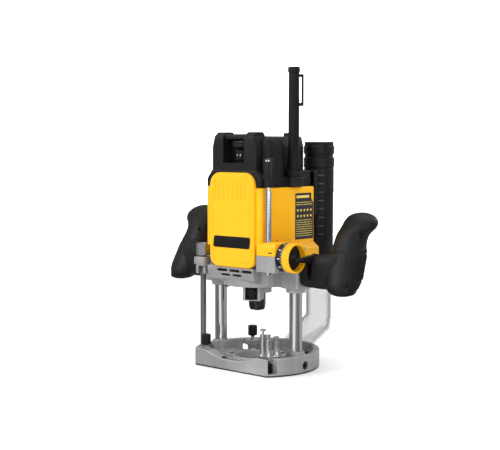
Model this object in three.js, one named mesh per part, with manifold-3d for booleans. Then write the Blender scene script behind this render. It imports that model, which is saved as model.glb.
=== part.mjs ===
// Plunge router, millimetres, +Z up. -Y is the front, +X the operator's right-hand grip. The carriage is
// drawn fully raised. Shapes are dimensioned from the spindle axis at the underside of the sole plate; every
// finished mesh is then moved by SHIFT_Y, which puts the origin at the bottom centre of the whole router.
import * as THREE from 'three';
import { mergeVertices } from 'three/addons/utils/BufferGeometryUtils.js';
import { ConvexGeometry } from 'three/addons/geometries/ConvexGeometry.js';
import { ParametricGeometry } from 'three/addons/geometries/ParametricGeometry.js';
import Module from 'manifold-3d';

const wasm = await Module();
wasm.setup();

// ---- driving dimensions ----
const GAP = 0.3;
const SHIFT_Y = -27.5;
const BASE_R = 88, BASE_FRONT = -58, WALL_TOP = 24.5, FLOOR = 9, SOLE_T = 1.5;
const OPENING_R = 31;
const COL_X = 70, COL_R = 9, COL_IR = 6.4, COL_TOP = 168, BOSS_R = 12.5, BOSS_TOP = 28.5;
const FENCE_Y = 50, FENCE_HALF = 5.7, FENCE_BOTTOM = 4;
const TURRET = [52, -35], TURRET_PCR = 10.7;
const POSTS = { a: [-176.9, 53, 60.5], b: [-56.9, 49, 55.5], c: [63.1, 43, 50.7] };
const LIMIT = [-71, -36];
const DUCT = [38.5, 91];
const CAR_BOTTOM = 116, CAR_TOP = 156.7;
const LOCK_AZ = 28 * Math.PI / 180, LOCK_HEX_R = 10.39;
const ROD = [57.8, -43.9], ROD_R = 4.5, ROD_BOTTOM = 137, ROD_TOP = 262;
const WHEEL_Y = -33, WHEEL_Z = 161, GEAR_M = 1.25, GEAR_N = 12, GEAR_R = GEAR_M * GEAR_N / 2;
const RACK_PITCH = Math.PI * GEAR_M;
const HX = 57, COVER_X = 50, COVER_Y = -50.5, COVER_Z0 = 144, COVER_Z1 = 274;
const PANEL_X = 41, PANEL_Y = -54.5, PANEL_R0 = 14, PANEL_R1 = 17, PLATE_Z0 = 172, PLATE_Z1 = 253.7;
const LEVER_Z = 158;
const GRIP_SCREWS = { lower: [160, -9, 128, -48], upper: [160.5, 25, 191, -25] }; // x, y, z, heading of the screw axis

// ---- helpers ----
function solid(geometry) {
  let g = geometry.clone();
  g.deleteAttribute('normal');
  g.deleteAttribute('uv');
  g = mergeVertices(g, 1e-3);
  const p = g.attributes.position.array, t = [];
  const ix = g.index.array;
  let v = 0;
  for (let i = 0; i < ix.length; i += 3) {
    const [a, b, c] = [ix[i], ix[i + 1], ix[i + 2]];
    if (a === b || b === c || a === c) continue;
    t.push(a, b, c);
    const A = [p[3 * a], p[3 * a + 1], p[3 * a + 2]], B = [p[3 * b], p[3 * b + 1], p[3 * b + 2]], C = [p[3 * c], p[3 * c + 1], p[3 * c + 2]];
    v += A[0] * (B[1] * C[2] - B[2] * C[1]) - A[1] * (B[0] * C[2] - B[2] * C[0]) + A[2] * (B[0] * C[1] - B[1] * C[0]);
  }
  if (v < 0) for (let i = 0; i < t.length; i += 3) [t[i + 1], t[i + 2]] = [t[i + 2], t[i + 1]];
  return new wasm.Manifold(new wasm.Mesh({ numProp: 3, vertProperties: new Float32Array(p), triVerts: new Uint32Array(t) }));
}
const box = (x0, x1, y0, y1, z0, z1) => solid(new THREE.BoxGeometry(x1 - x0, y1 - y0, z1 - z0).translate((x0 + x1) / 2, (y0 + y1) / 2, (z0 + z1) / 2));
const cylZ = (r, z0, z1, x = 0, y = 0, n = 32, r2 = r) => solid(new THREE.CylinderGeometry(r2, r, z1 - z0, n).rotateX(Math.PI / 2).translate(x, y, (z0 + z1) / 2));
const cylX = (r, x0, x1, y = 0, z = 0, n = 24, r2 = r) => solid(new THREE.CylinderGeometry(r2, r, x1 - x0, n).rotateZ(-Math.PI / 2).translate((x0 + x1) / 2, y, z));
function shapeOf(pts, r = 0) {
  const s = new THREE.Shape();
  if (!r) { s.setFromPoints(pts.map(q => new THREE.Vector2(q[0], q[1]))); return s; }
  const n = pts.length;
  pts.forEach((q, i) => {
    const rr = q[2] === undefined ? r : q[2];
    const P = new THREE.Vector2(q[0], q[1]);
    if (rr < 0.05) { if (i === 0) s.moveTo(P.x, P.y); else s.lineTo(P.x, P.y); return; }
    const A = new THREE.Vector2(...pts[(i + n - 1) % n].slice(0, 2)).sub(P).normalize().multiplyScalar(rr).add(P);
    const B = new THREE.Vector2(...pts[(i + 1) % n].slice(0, 2)).sub(P).normalize().multiplyScalar(rr).add(P);
    if (i === 0) s.moveTo(A.x, A.y); else s.lineTo(A.x, A.y);
    s.quadraticCurveTo(P.x, P.y, B.x, B.y);
  });
  s.closePath();
  return s;
}
function prism(pts, a, b, basis, r = 0, bevel = 0, seg = 3) {
  const g = new THREE.ExtrudeGeometry(shapeOf(pts, r), { depth: b - a - 2 * bevel, bevelEnabled: bevel > 0, bevelThickness: bevel, bevelSize: bevel, bevelOffset: -bevel, bevelSegments: 2, curveSegments: seg, steps: 1 });
  g.translate(0, 0, a + bevel);
  if (basis) g.applyMatrix4(basis);
  return solid(g);
}
const V = (x, y, z) => new THREE.Vector3(x, y, z);
const BX = new THREE.Matrix4().makeBasis(V(0, 1, 0), V(0, 0, 1), V(1, 0, 0));
const BY = new THREE.Matrix4().makeBasis(V(1, 0, 0), V(0, 0, 1), V(0, -1, 0));
const prismZ = (pts, z0, z1, r, bevel, seg) => prism(pts, z0, z1, null, r, bevel, seg);
const prismX = (pts, x0, x1, r, bevel, seg) => prism(pts, x0, x1, BX, r, bevel, seg);
const prismY = (pts, y0, y1, r, bevel, seg) => prism(pts, -y1, -y0, BY, r, bevel, seg);
const lathe = (pts, x = 0, y = 0, n = 32) => solid(new THREE.LatheGeometry([...pts, pts[0]].map(q => new THREE.Vector2(q[0], q[1])), n).rotateX(Math.PI / 2).translate(x, y, 0));
const latheX = (pts, y, z, n = 32) => solid(new THREE.LatheGeometry([...pts, pts[0]].map(q => new THREE.Vector2(q[0], q[1])), n).rotateZ(-Math.PI / 2).translate(0, y, z));
const hull = pts => solid(new ConvexGeometry(pts.map(q => V(...q))));
const ring = (r, z, x, y, n = 20) => Array.from({ length: n }, (_, i) => [x + r * Math.cos(2 * Math.PI * i / n), y + r * Math.sin(2 * Math.PI * i / n), z]);
// a closed skin through sections: f(u) gives centre, two half-width vectors and a squareness exponent
function loft(f, nu, nv) {
  const g = new ParametricGeometry((u, v, out) => {
    const s = f(u), a = 2 * Math.PI * v;
    const k = (c) => Math.sign(c) * Math.pow(Math.abs(c), 2 / (s.e || 2));
    const ca = k(Math.cos(a)), sa = k(Math.sin(a));
    out.set(s.c[0] + s.a[0] * ca + s.b[0] * sa, s.c[1] + s.a[1] * ca + s.b[1] * sa, s.c[2] + s.a[2] * ca + s.b[2] * sa);
  }, nu, nv);
  return solid(g);
}
const cylN = (r, a, b, [x, y, z, deg], n) => solid(new THREE.CylinderGeometry(r, r, b - a, n).rotateZ(-Math.PI / 2).translate((a + b) / 2, 0, 0).rotateZ(deg * Math.PI / 180).translate(x, y, z));
function table(rows, t) {
  let i = 0;
  while (i < rows.length - 2 && t > rows[i + 1][0]) i++;
  const A = rows[i], B = rows[i + 1], k = Math.min(1, Math.max(0, (t - A[0]) / (B[0] - A[0])));
  return A.map((v, j) => v + (B[j] - v) * k);
}
const union = list => list.reduce((a, b) => a.add(b));

const root = new THREE.Group();
root.name = 'plunge_router';
const groups = {};
function put(body, name, m, look) {
  const mesh = m.getMesh();
  let g = new THREE.BufferGeometry();
  g.setAttribute('position', new THREE.BufferAttribute(new Float32Array(mesh.vertProperties), 3));
  g.setIndex(new THREE.BufferAttribute(new Uint32Array(mesh.triVerts), 1));
  g.translate(0, SHIFT_Y, 0);
  g.computeVertexNormals();
  const o = new THREE.Mesh(g, new THREE.MeshStandardMaterial(look));
  o.name = name;
  if (!groups[body]) { groups[body] = new THREE.Group(); groups[body].name = 'g_' + body; root.add(groups[body]); }
  groups[body].add(o);
}
const ALU = { color: 0x9a9b9c, roughness: 0.55, metalness: 0.6 };
const YEL = { color: 0xfdc41a, roughness: 0.45, metalness: 0 };
const BLK = { color: 0x1b1b1c, roughness: 0.6, metalness: 0 };
const CHR = { color: 0xd6d8da, roughness: 0.15, metalness: 1 };
const STL = { color: 0x9c9ea0, roughness: 0.35, metalness: 1 };
const DRK = { color: 0x3a3a3c, roughness: 0.4, metalness: 0.8 };
const BRS = { color: 0xb08a3c, roughness: 0.4, metalness: 1 };
const CLR = { color: 0xdfe4e6, roughness: 0.1, metalness: 0, transparent: true, opacity: 0.35 };
const CAR = { color: 0x2a2826, roughness: 0.8, metalness: 0 };

// ================= base =================
{
  const outer = cylZ(BASE_R, SOLE_T + GAP, WALL_TOP, 0, 0, 56).intersect(box(-90, 90, BASE_FRONT, 90, 0, 40));
  const pocket = cylZ(BASE_R - 8, FLOOR, 40, 0, 0, 40).intersect(box(-90, 90, BASE_FRONT + 15, 90, 0, 40));
  let b = outer.subtract(pocket);
  const side = [];
  for (const s of [-1, 1]) side.push(cylZ(BOSS_R, FLOOR - 1, BOSS_TOP, s * COL_X, 0, 24), cylZ(19, FLOOR - 1, 14, s * (COL_X - 6), 0, 20));
  side.push(cylZ(16, FLOOR - 1, 19.7, ...TURRET, 20), cylZ(37, FLOOR - 1, 14, 0, 0, 32), cylZ(9, FLOOR - 1, 22, ...LIMIT, 14));
  b = b.add(union(side).intersect(cylZ(BASE_R - 0.02, 0, 60, 0, 0, 56)).intersect(box(-90, 90, BASE_FRONT + 0.02, 90, 0, 40)));
  // scalloped dip in the front wall
  b = b.subtract(prismY([[-52, 30], [-50, 24.6], [-40, 22.5], [-26, 17.5], [-12, 15.6], [12, 15.6], [26, 17.5], [40, 22.5], [50, 24.6], [52, 30]], -62, -43));
  // fence rod grooves, bridged at the left by the clamp blocks
  for (const s of [-1, 1]) {
    b = b.subtract(box(-95, 95, s * FENCE_Y - FENCE_HALF, s * FENCE_Y + FENCE_HALF, FENCE_BOTTOM, 16.2));
    b = b.subtract(box(20, 95, s * FENCE_Y - FENCE_HALF, s * FENCE_Y + FENCE_HALF, FENCE_BOTTOM, 40));
    b = b.add(box(-61, -44, s * FENCE_Y - 7.6, s * FENCE_Y + 7.6, 16.1, 24).intersect(outer.add(box(-80, 0, -57.9, 57.9, 5, 24))));
    b = b.subtract(cylZ(3.4, 10, 40, -52.5, s * FENCE_Y, 12));
  }
  b = b.subtract(cylZ(OPENING_R, 0, 40, 0, 0, 32));
  for (const s of [-1, 1]) {
    b = b.subtract(cylZ(COL_R + GAP, 3, 40, s * COL_X, 0, 24));
    b = b.subtract(cylX(6, s > 0 ? 81 : -92, s > 0 ? 92 : -81, 0, 8.5 + 2, 16));
    b = b.subtract(box(s > 0 ? 78 : -92, s > 0 ? 92 : -78, -0.5, 0.5, 10.5, 40));
  }
  b = b.subtract(cylZ(4.7, 5, 40, ...LIMIT, 14)).subtract(cylZ(3.3, 5, 40, ...TURRET, 12));
  b = b.subtract(cylZ(16.2, 19.7, 40, ...TURRET, 24)).subtract(box(-0.3, 0.3, -59, -57.4, 2, 14));
  put('base', 'base_casting', b, ALU);
  put('base', 'sole_plate', cylZ(BASE_R - 0.6, 0, SOLE_T, 0, 0, 48).intersect(box(-90, 90, BASE_FRONT + 0.6, 90, -1, 3)).subtract(cylZ(OPENING_R - 3, -1, 4, 0, 0, 28)), BLK);
  for (const [s, n] of [[-1, 'left'], [1, 'right']]) {
    const slot = box(s * COL_X - 2.6, s * COL_X + 2.6, 0, 12, 62, 158);
    put('base', 'column_' + n, lathe([[COL_IR, 12], [COL_IR, COL_TOP], [COL_R - 0.8, COL_TOP], [COL_R, COL_TOP - 0.8], [COL_R, 3.3], [0, 3.3], [0, 12]], s * COL_X, 0, 24).subtract(slot), CHR);
    const scr = cylX(5.7, s > 0 ? 81.3 : -85.3, s > 0 ? 85.3 : -81.3, 0, 10.5, 18).subtract(cylX(2.6, s > 0 ? 82.8 : -86, s > 0 ? 86 : -82.8, 0, 10.5, 6));
    put('base', 'column_screw_' + n, scr, DRK);
    // return spring inside the hollow column, between the column floor and the cross pin
    const turns = 9, z0 = 13.2, z1 = 147.2;
    class Helix extends THREE.Curve { getPoint(t, o = new THREE.Vector3()) { const a = 2 * Math.PI * turns * t; return o.set(s * COL_X + 4.9 * Math.cos(a), 4.9 * Math.sin(a), z0 + (z1 - z0) * t); } }
    const wire = new THREE.Shape([new THREE.Vector2(-0.7, -0.7), new THREE.Vector2(0.7, -0.7), new THREE.Vector2(0.7, 0.7), new THREE.Vector2(-0.7, 0.7)]);
    put('base', 'return_spring_' + n, solid(new THREE.ExtrudeGeometry(wire, { steps: turns * 7, bevelEnabled: false, extrudePath: new Helix() })), STL);
  }
  // height limit rod with a rolled-thread look
  const rp = [[0, 5.3], [4.4, 5.3]];
  rp.push([4.4, 172], [3.6, 173], [0, 173]);
  put('base', 'limit_rod', lathe(rp, ...LIMIT, 14), STL);
  put('base', 'turret_pivot_screw', cylZ(3, 6, 26.3, ...TURRET, 16).add(cylZ(4.6, 26.3, 29, ...TURRET, 20)).subtract(box(TURRET[0] - 5, TURRET[0] + 5, TURRET[1] - 0.6, TURRET[1] + 0.6, 28, 30)), STL);
  // clear dust duct: sleeve, tapered throat and mouth over the cutter opening
  const mouth = (w, z0, z1, y) => [[6 - w, y, z0], [44 + w, y, z0], [44 + w, y, z1], [6 - w, y, z1]];
  const outerD = union([cylZ(18.5, 60, 185, ...DUCT, 24), hull([...ring(18.5, 66, ...DUCT, 24), ...ring(17, 46, DUCT[0], DUCT[1] - 1, 24), ...mouth(0, 14.4, 33, 52)]), hull([...mouth(0, 14.4, 33, 53), [-14, 33.5, 14.4], [30, 33.5, 14.4], [-10, 34, 26], [30, 34, 26]])]);
  const innerD = union([cylZ(16.7, 60, 190, ...DUCT, 24), hull([...ring(16.7, 66, ...DUCT, 24), ...ring(15, 48.5, DUCT[0], DUCT[1] - 1, 24), ...mouth(-1.8, 16, 31.2, 52)]), hull([...mouth(-1.8, 16, 31.2, 53), [-12, 32, 13], [28, 32, 13], [-8, 32, 24.2], [28, 32, 24.2], [-12, 30, 13], [28, 30, 13], [-8, 30, 24.2], [28, 30, 24.2]])]);
  let d = outerD.subtract(innerD).subtract(cylZ(BASE_R + 0.3, 0, WALL_TOP + 0.3, 0, 0, 72).subtract(cylZ(BASE_R - 8.3, 0, 60, 0, 0, 48)));
  d = d.subtract(cylZ(OPENING_R + 6.3, 0, 14.35, 0, 0, 40)).subtract(cylZ(BOSS_R + 7, 0, 29, COL_X, 0, 24));
  put('base', 'dust_duct', d, CLR);
}
// turret
{
  const at = a => [TURRET[0] + TURRET_PCR * Math.cos(a * Math.PI / 180), TURRET[1] + TURRET_PCR * Math.sin(a * Math.PI / 180)];
  let t = cylZ(15.5, 20, 25.9, ...TURRET, 28);
  for (const k in POSTS) t = t.add(cylZ(4.5, 25, POSTS[k][1], ...at(POSTS[k][0]), 12));
  t = t.subtract(cylZ(3.3, 15, 30, ...TURRET, 16));
  for (const k in POSTS) t = t.subtract(cylZ(1.8, POSTS[k][1] - 12, POSTS[k][1] + 1, ...at(POSTS[k][0]), 10));
  put('turret', 'turret_disc', t, STL);
  for (const k in POSTS) {
    const c = at(POSTS[k][0]), top = POSTS[k][2], low = POSTS[k][1];
    put(k === 'a' ? 'turret' : 'stop_' + k, 'stop_screw_' + k, cylZ(1.5, low - 11, top - 2, ...c, 10).add(cylZ(3.9, top - 2.5, top, ...c, 12)).subtract(box(c[0] - 4, c[0] + 4, c[1] - 0.5, c[1] + 0.5, top - 1, top + 1)), STL);
  }
}
// fence rod clamps
for (const [s, n] of [[-1, 'front'], [1, 'rear']]) {
  let k = cylZ(6.4, 30, 45, -52.5, s * FENCE_Y, 20, 6.8);
  for (let i = 0; i < 6; i++) k = k.subtract(cylZ(1.4, 29, 46, -52.5 + 7.4 * Math.cos(i * Math.PI / 3), s * FENCE_Y + 7.4 * Math.sin(i * Math.PI / 3), 8));
  k = k.subtract(cylZ(3.3, 25, 41, -52.5, s * FENCE_Y, 12));
  put('clamp_' + n, 'rod_clamp_knob_' + n, k, BLK);
  put('clamp_' + n, 'rod_clamp_stud_' + n, cylZ(3, 14.5, 40.6, -52.5, s * FENCE_Y, 12), STL);
}
// height limit nut, quick-release collar and its button
{
  put('limit_nut', 'limit_nut', cylZ(10.2, 155, 172.6, ...LIMIT, 6).subtract(cylZ(4.7, 150, 180, ...LIMIT, 16)), STL);
  let c = cylZ(10.2, 140, 153, ...LIMIT, 24).add(box(LIMIT[0] - 14, LIMIT[0] - 4, LIMIT[1] - 4.5, LIMIT[1] + 4.5, 141.5, 151.5));
  c = c.subtract(cylZ(4.7, 130, 160, ...LIMIT, 16)).subtract(box(LIMIT[0] - 15, LIMIT[0] - 8, LIMIT[1] - 3.3, LIMIT[1] + 3.3, 143, 150));
  put('limit_collar', 'limit_collar', c, BLK);
  put('collar_button', 'collar_button', box(LIMIT[0] - 16.2, LIMIT[0] - 10.6, LIMIT[1] - 3, LIMIT[1] + 3, 143.3, 149.7), DRK);
}

// ================= carriage =================
const lockDir = [Math.sin(LOCK_AZ), -Math.cos(LOCK_AZ)];
const lockM = new THREE.Matrix4().makeBasis(V(lockDir[0], lockDir[1], 0), V(-lockDir[1], lockDir[0], 0), V(0, 0, 1));
const along = g => solid(g.applyMatrix4(lockM));
const lbox = (r0, r1, w, z0, z1) => along(new THREE.BoxGeometry(r1 - r0, w, z1 - z0).translate((r0 + r1) / 2, 0, (z0 + z1) / 2));
const lcyl = (r, r0, r1, z, n) => along(new THREE.CylinderGeometry(r, r, r1 - r0, n).rotateZ(-Math.PI / 2).translate((r0 + r1) / 2, 0, z));
const GEARCAV = cylX(9.3, 52.4, 63.4, WHEEL_Y, WHEEL_Z, 24);
{
  let c = union([
    cylZ(47, CAR_BOTTOM, CAR_TOP, 0, 0, 36),
    cylZ(20.5, 105, CAR_BOTTOM + 1, 0, 0, 24),
    prismX([[-50, 143.6], [-50, 138], [-46.5, 126], [-38, 122], [-15, 122], [-15, 143.6]], -49.5, 35),
    prismZ([[44.2, -53.5], [77, -53.5], [77, -15.4], [50.3, -15.4], [50.3, -50.8], [44.2, -50.8]], 141, 162.85),
    box(30, 62, -10, 26, CAR_BOTTOM, 150), box(-62, -30, -16, 16, CAR_BOTTOM, 150),
  ]);
  // floor gets slotted louvres
  for (const [x0, x1, z0, z1] of [[-32, -12, 136.4, 140.4], [-9.5, 10.5, 136.4, 140.4], [13, 33, 136.4, 140.4], [-26, -8.5, 130.4, 133.6], [-4.5, 13, 130.4, 133.6]]) c = c.subtract(box(x0, x1, -52, -43.5, z0, z1));
  for (const s of [-1, 1]) {
    c = c.add(prismZ([[s * 56, -16], [s * 86, -16], [s * 86, 16], [s * 56, 16]], CAR_BOTTOM, CAR_TOP, 3, 0, 2));
    c = c.add(cylZ(13, 110, 172, s * COL_X, 0, 24));
  }
  // lug of the height limiter, a fork round the threaded rod
  c = c.add(box(-80, -62, -42, -14, 128.5, 139.7)).subtract(box(LIMIT[0] - 4.9, LIMIT[0] + 4.9, -50, LIMIT[1], 120, 139.75)).subtract(cylZ(4.9, 120, 139.75, ...LIMIT, 20));
  // spindle lock boss
  c = c.add(lbox(10, 36.5, 24.4, 96.5, 117)).add(along(new THREE.ExtrudeGeometry(shapeOf([[10, 116], [36.5, 116], [30, 128.6], [10, 128.6]]), { depth: 24.4, bevelEnabled: false }).applyMatrix4(new THREE.Matrix4().makeBasis(V(1, 0, 0), V(0, 0, 1), V(0, -1, 0))).translate(0, 12.2, 0)));
  // bowl cavity, bearing seat and spindle bore
  c = c.subtract(cylZ(43, 136, 170, 0, 0, 32)).subtract(cylZ(13, 90, 150, 0, 0, 24)).subtract(cylZ(18, 121, 150, 0, 0, 24));
  for (const s of [-1, 1]) {
    c = c.subtract(cylZ(COL_R + 0.4, 100, 180, s * COL_X, 0, 24)).subtract(cylZ(11.35, 100, 140, s * COL_X, 0, 24));
    c = c.subtract(solid(new THREE.CylinderGeometry(2.3, 2.3, 20, 12).translate(s * COL_X, 8, 150)));
  }
  // button recess and plunger bore of the spindle lock
  c = c.subtract(lbox(32, 40, 17, 98.2, 115.2)).subtract(lcyl(6.9, 24, 40, 106.7, 20)).subtract(lcyl(2.8, 9, 30, 106.7, 14));
  // depth wheel shaft, gear pocket, depth rod bore, ring relief and lock screw bore
  c = c.subtract(cylX(4.3, 51, 90, WHEEL_Y, WHEEL_Z, 20)).subtract(GEARCAV).subtract(cylZ(ROD_R + GAP, 130, 170, ...ROD, 24));
  c = c.subtract(cylX(20.4, 76.6, 90, WHEEL_Y, WHEEL_Z, 28)).subtract(cylX(3.4, 78, 90, 0, LEVER_Z, 16));
  put('carriage', 'carriage_casting', c, ALU);
  put('carriage', 'depth_rod_guide', prismX([[-53.5, 163.15], [-53.5, 181, 7], [-20.2, 181, 5], [-20.2, 163.15]], 44.2, 77, 0.01, 1.2, 3)
    .subtract(box(40, 50.3, -50.8, -10, 150, 190)).subtract(cylZ(ROD_R + GAP, 150, 190, ...ROD, 24)).subtract(GEARCAV).subtract(cylX(4.3, 51, 90, WHEEL_Y, WHEEL_Z, 20)), YEL);
  for (const [s, n] of [[-1, 'left'], [1, 'right']]) {
    put('carriage', 'column_bush_' + n, lathe([[COL_R + GAP, 110.3], [11, 110.3], [11, 139.7], [COL_R + GAP, 139.7]], s * COL_X, 0, 24), BRS);
    put('carriage', 'spring_pin_' + n, solid(new THREE.CylinderGeometry(2, 2, 16.8, 12).translate(s * COL_X, 4, 150)), STL);
  }
  // motor housing
  const prof = (o) => [[-47.2 + o, -47.6 + o], [47.2 - o, -47.6 + o], [47.2 - o, -27 + o / 2], [HX - o, 3], [HX - o, 57 - o], [-HX + o, 57 - o], [-HX + o, 3], [-47.2 + o, -27 + o / 2]];
  let h = prismZ(prof(0), 157, 253.7, 2.5, 0, 2).add(prismY([[-66, 157], [66, 157], [66, 169], [HX, 174], [-HX, 174], [-66, 169]], -19.4, 57));
  h = h.subtract(prismZ(prof(2.6), 150, 204, 2, 0, 2)).subtract(prismZ(prof(2.6), 207, 248.5, 2, 0, 2)).subtract(cylZ(40, 200, 210, 0, 0, 24));
  h = h.add(cylZ(44.4, 232, 249, 0, 0, 32).intersect(cylZ(17.5, 232, 249, 0, 0, 24))).subtract(cylZ(13.3, 220, 245.3, 0, 0, 28));
  h = h.subtract(cylZ(13.6, 150, 180, COL_X, 0, 24)).subtract(cylZ(13.6, 150, 180, -COL_X, 0, 24)).subtract(box(49, 80, -30, -15, 150, 181.4)).subtract(prismZ([[-90, -17], [-56, -17], [-56, 17], [-90, 17]], 150, 157.2));
  h = h.subtract(cylZ(COL_R + 0.6, 170, 260, COL_X, 0, 16)).subtract(cylZ(COL_R + 0.6, 170, 260, -COL_X, 0, 16));
  put('carriage', 'motor_housing', h, YEL);
  // front cover: a plate across the housing with a raised arched panel
  const panel = (o) => [[-PANEL_X + o, COVER_Z0 + o, PANEL_R0 - o], [PANEL_X - o, COVER_Z0 + o, PANEL_R0 - o], [PANEL_X - o, COVER_Z1 - o, PANEL_R1 - o], [-PANEL_X + o, COVER_Z1 - o, PANEL_R1 - o]];
  let f = prismY([[-COVER_X, PLATE_Z0], [COVER_X, PLATE_Z0], [COVER_X, PLATE_Z1], [-COVER_X, PLATE_Z1]], COVER_Y, -20, 0.01, 2.2, 3).add(prismY(panel(0), PANEL_Y, -20, 8, 2.2, 4));
  f = f.subtract(box(-60, 60, -26.9, 0, 100, 300)).subtract(box(-COVER_X + 2.4, COVER_X - 2.4, COVER_Y + 2.6, 0, 100, PLATE_Z1 + 0.2)).subtract(prismY(panel(2.4), PANEL_Y + 2.6, 0, 6, 0, 3));
  put('carriage', 'front_cover', f, YEL);
  // top cap
  let t = prismY([[-40.5, 254], [40.5, 254], [40.5, 309], [36.5, 323.5], [-36.5, 323.5], [-40.5, 309]], -50, 55, 0.01, 2, 3)
    .add(prismZ([[-50, -26.4], [50, -26.4], [54, 3], [54, 55], [-54, 55], [-54, 3]], 254, 268, 4, 0, 2))
    .add(prismZ([[36, 1], [64.5, 1], [64.5, 29], [36, 29]], 254.2, 268, 8, 0, 3))
    .add(prismZ([[30, -38], [47, -38], [52, -30], [52, -3], [47, 3], [30, 3]], 264, 321, 2, 0, 2));
  for (const [x0, x1] of [[-36, -19.3], [19.3, 36]]) t = t.add(prismX([[-49.4, 316], [-49.4, 323.5], [-42.5, 329], [-28, 329], [-24, 323], [-24, 316]], x0, x1));
  // band round the arched panel, then the nest of the panel
  t = t.add(prismY([[-COVER_X, 254], [COVER_X, 254], [COVER_X, 266, 8], [40.5, 277, 5], [-40.5, 277, 5], [-COVER_X, 266, 8]], COVER_Y, -24, 0.01, 2.2, 3));
  t = t.subtract(prismY([[-PANEL_X - 0.4, 100], [PANEL_X + 0.4, 100], [PANEL_X + 0.4, COVER_Z1 + 0.4, PANEL_R1], [-PANEL_X - 0.4, COVER_Z1 + 0.4, PANEL_R1]], -60, -26.5, 0.01, 0, 4));
  t = t.subtract(box(-37, 37, -23, 51.6, 250, 311)).subtract(box(-34, 34, -23, 51.6, 300, 320)).subtract(prismZ([[-47, -23], [47, -23], [51, 4], [51, 52], [-51, 52], [-51, 4]], 250, 264.5));
  t = t.subtract(box(-19, 19, -55, -33, 287, 330)).subtract(box(-8.4, 12.4, -40, -20, 290.2, 304.6)).subtract(box(-8.6, 12.6, -40, -20, 305.8, 320.4));
  t = t.subtract(cylZ(2.3, 288.6, 305.4, 2, -34, 12));
  t = t.subtract(cylZ(4, 250, 270, 53.5, 15, 16));
  put('carriage', 'top_cap', t, BLK);
  const rc = prismZ([[-57, 57.3, 0], [57, 57.3, 0], [57, 68, 8], [-57, 68, 8]], 214, 276, 0.01, 0, 3).subtract(prismZ([[-54.4, 50], [54.4, 50], [54.4, 65.4], [-54.4, 65.4]], 216.6, 273.4, 0.01, 0, 2));
  put('carriage', 'rear_cover', rc, BLK);
  put('carriage', 'cord_protector', lathe([[3.6, 268.4], [11, 268.4], [11, 275], [9.2, 289], [7.4, 300], [7.4, 360], [7, 408], [8.35, 411.5], [8.35, 418.2], [3.6, 418.2]], 53.5, 15, 18), BLK);
  const DR = [[19.3, 152], [20.9, 152], [20.9, 243], [21.5, 243.6], [21.5, 278.4], [22, 279], [22, 293.6], [20.4, 294.6], [20.4, 298.2], [22, 299.2], [22, 309.9], [20.9, 310.4], [20.9, 316], [19.3, 316]];
  let dt = lathe(DR, ...DUCT, 20).add(box(30, 47, 57.4, 74, 160, 200).subtract(cylZ(20.5, 150, 210, ...DUCT, 32)));
  put('carriage', 'dust_tube', dt, BLK);
  // motor internals fixed to the housing
  put('carriage', 'stator', lathe([[25.6, 160], [43.9, 160], [43.9, 203.5], [25.6, 203.5]], 0, 0, 28), DRK);
  put('carriage', 'lower_bearing', lathe([[8.3, 121.3], [17.5, 121.3], [17.5, 135], [8.3, 135]], 0, 0, 24), STL);
  put('carriage', 'upper_bearing', lathe([[5.3, 236], [13, 236], [13, 245], [5.3, 245]], 0, 0, 22), STL);
  for (const [s, n] of [[-1, 'left'], [1, 'right']]) {
    put('carriage', 'brush_' + n, box(s > 0 ? 16.4 : -34, s > 0 ? 34 : -16.4, -4, 4, 218, 227), CAR);
  }
  // grips
  const grip = [[112, 150, 8, 8], [114, 150, 15, 14], [120, 147, 20, 19], [132, 145, 24, 22], [150, 142, 25, 23], [168, 141, 24, 22], [182, 139.5, 22, 21], [192, 141, 22.5, 20], [200, 146, 25, 19], [208, 148, 25, 17], [215, 147, 20, 14], [219, 146, 12, 9], [220.5, 146, 5, 4]];
  const arm = [[86.3, 141, 20, 13, 0], [92, 141, 21.5, 14.5, 0], [104, 141, 22, 15, 1], [120, 142, 24, 17, 5], [138, 143, 24, 18, 11], [146, 143, 18, 14, 12]];
  const fg = s => u => {
    const z = 112 + 108.5 * u, r = table(grip, z), k = (u <= 0 || u >= 1) ? 0 : 1;
    return { c: [s * r[1], 2 + 0.4663 * (z - 120), z], a: [r[2] * k, 0, 0], b: [0, r[3] * k, 0], e: 2.2 };
  };
  const fa = s => u => {
    const x = 86.3 + 59.7 * Math.min(1, Math.max(0, (u - 0.04) / 0.92)), r = table(arm, x), k = (u <= 0 || u >= 1) ? 0 : 1;
    return { c: [s * x, r[4], r[1]], a: [0, r[3] * k, 0], b: [0, 0, r[2] * k], e: 3 };
  };
  for (const [s, n] of [[-1, 'left'], [1, 'right']]) {
    let g = loft(fg(s), 12, 12).add(loft(fa(s), 7, 12));
    if (s > 0) {
      g = g.subtract(prismX([[-22, 125], [-22, 190], [12, 190], [12, 146], [-4, 140]], 99.4, 106.8)).subtract(cylX(3.4, 80, 101, 0, LEVER_Z, 16));
      g = g.subtract(cylX(20.4, 76, 99.5, WHEEL_Y, WHEEL_Z, 28));
      for (const k in GRIP_SCREWS) g = g.subtract(cylN(3.3, -7.5, 8, GRIP_SCREWS[k], 14));
    }
    put('carriage', 'handle_' + n, g, BLK);
  }
  for (const k in GRIP_SCREWS) put('carriage', 'handle_screw_' + k, cylN(2.9, -7.2, -2.6, GRIP_SCREWS[k], 14).subtract(cylN(1.3, -4.4, 0, GRIP_SCREWS[k], 6)), STL);
}
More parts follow.
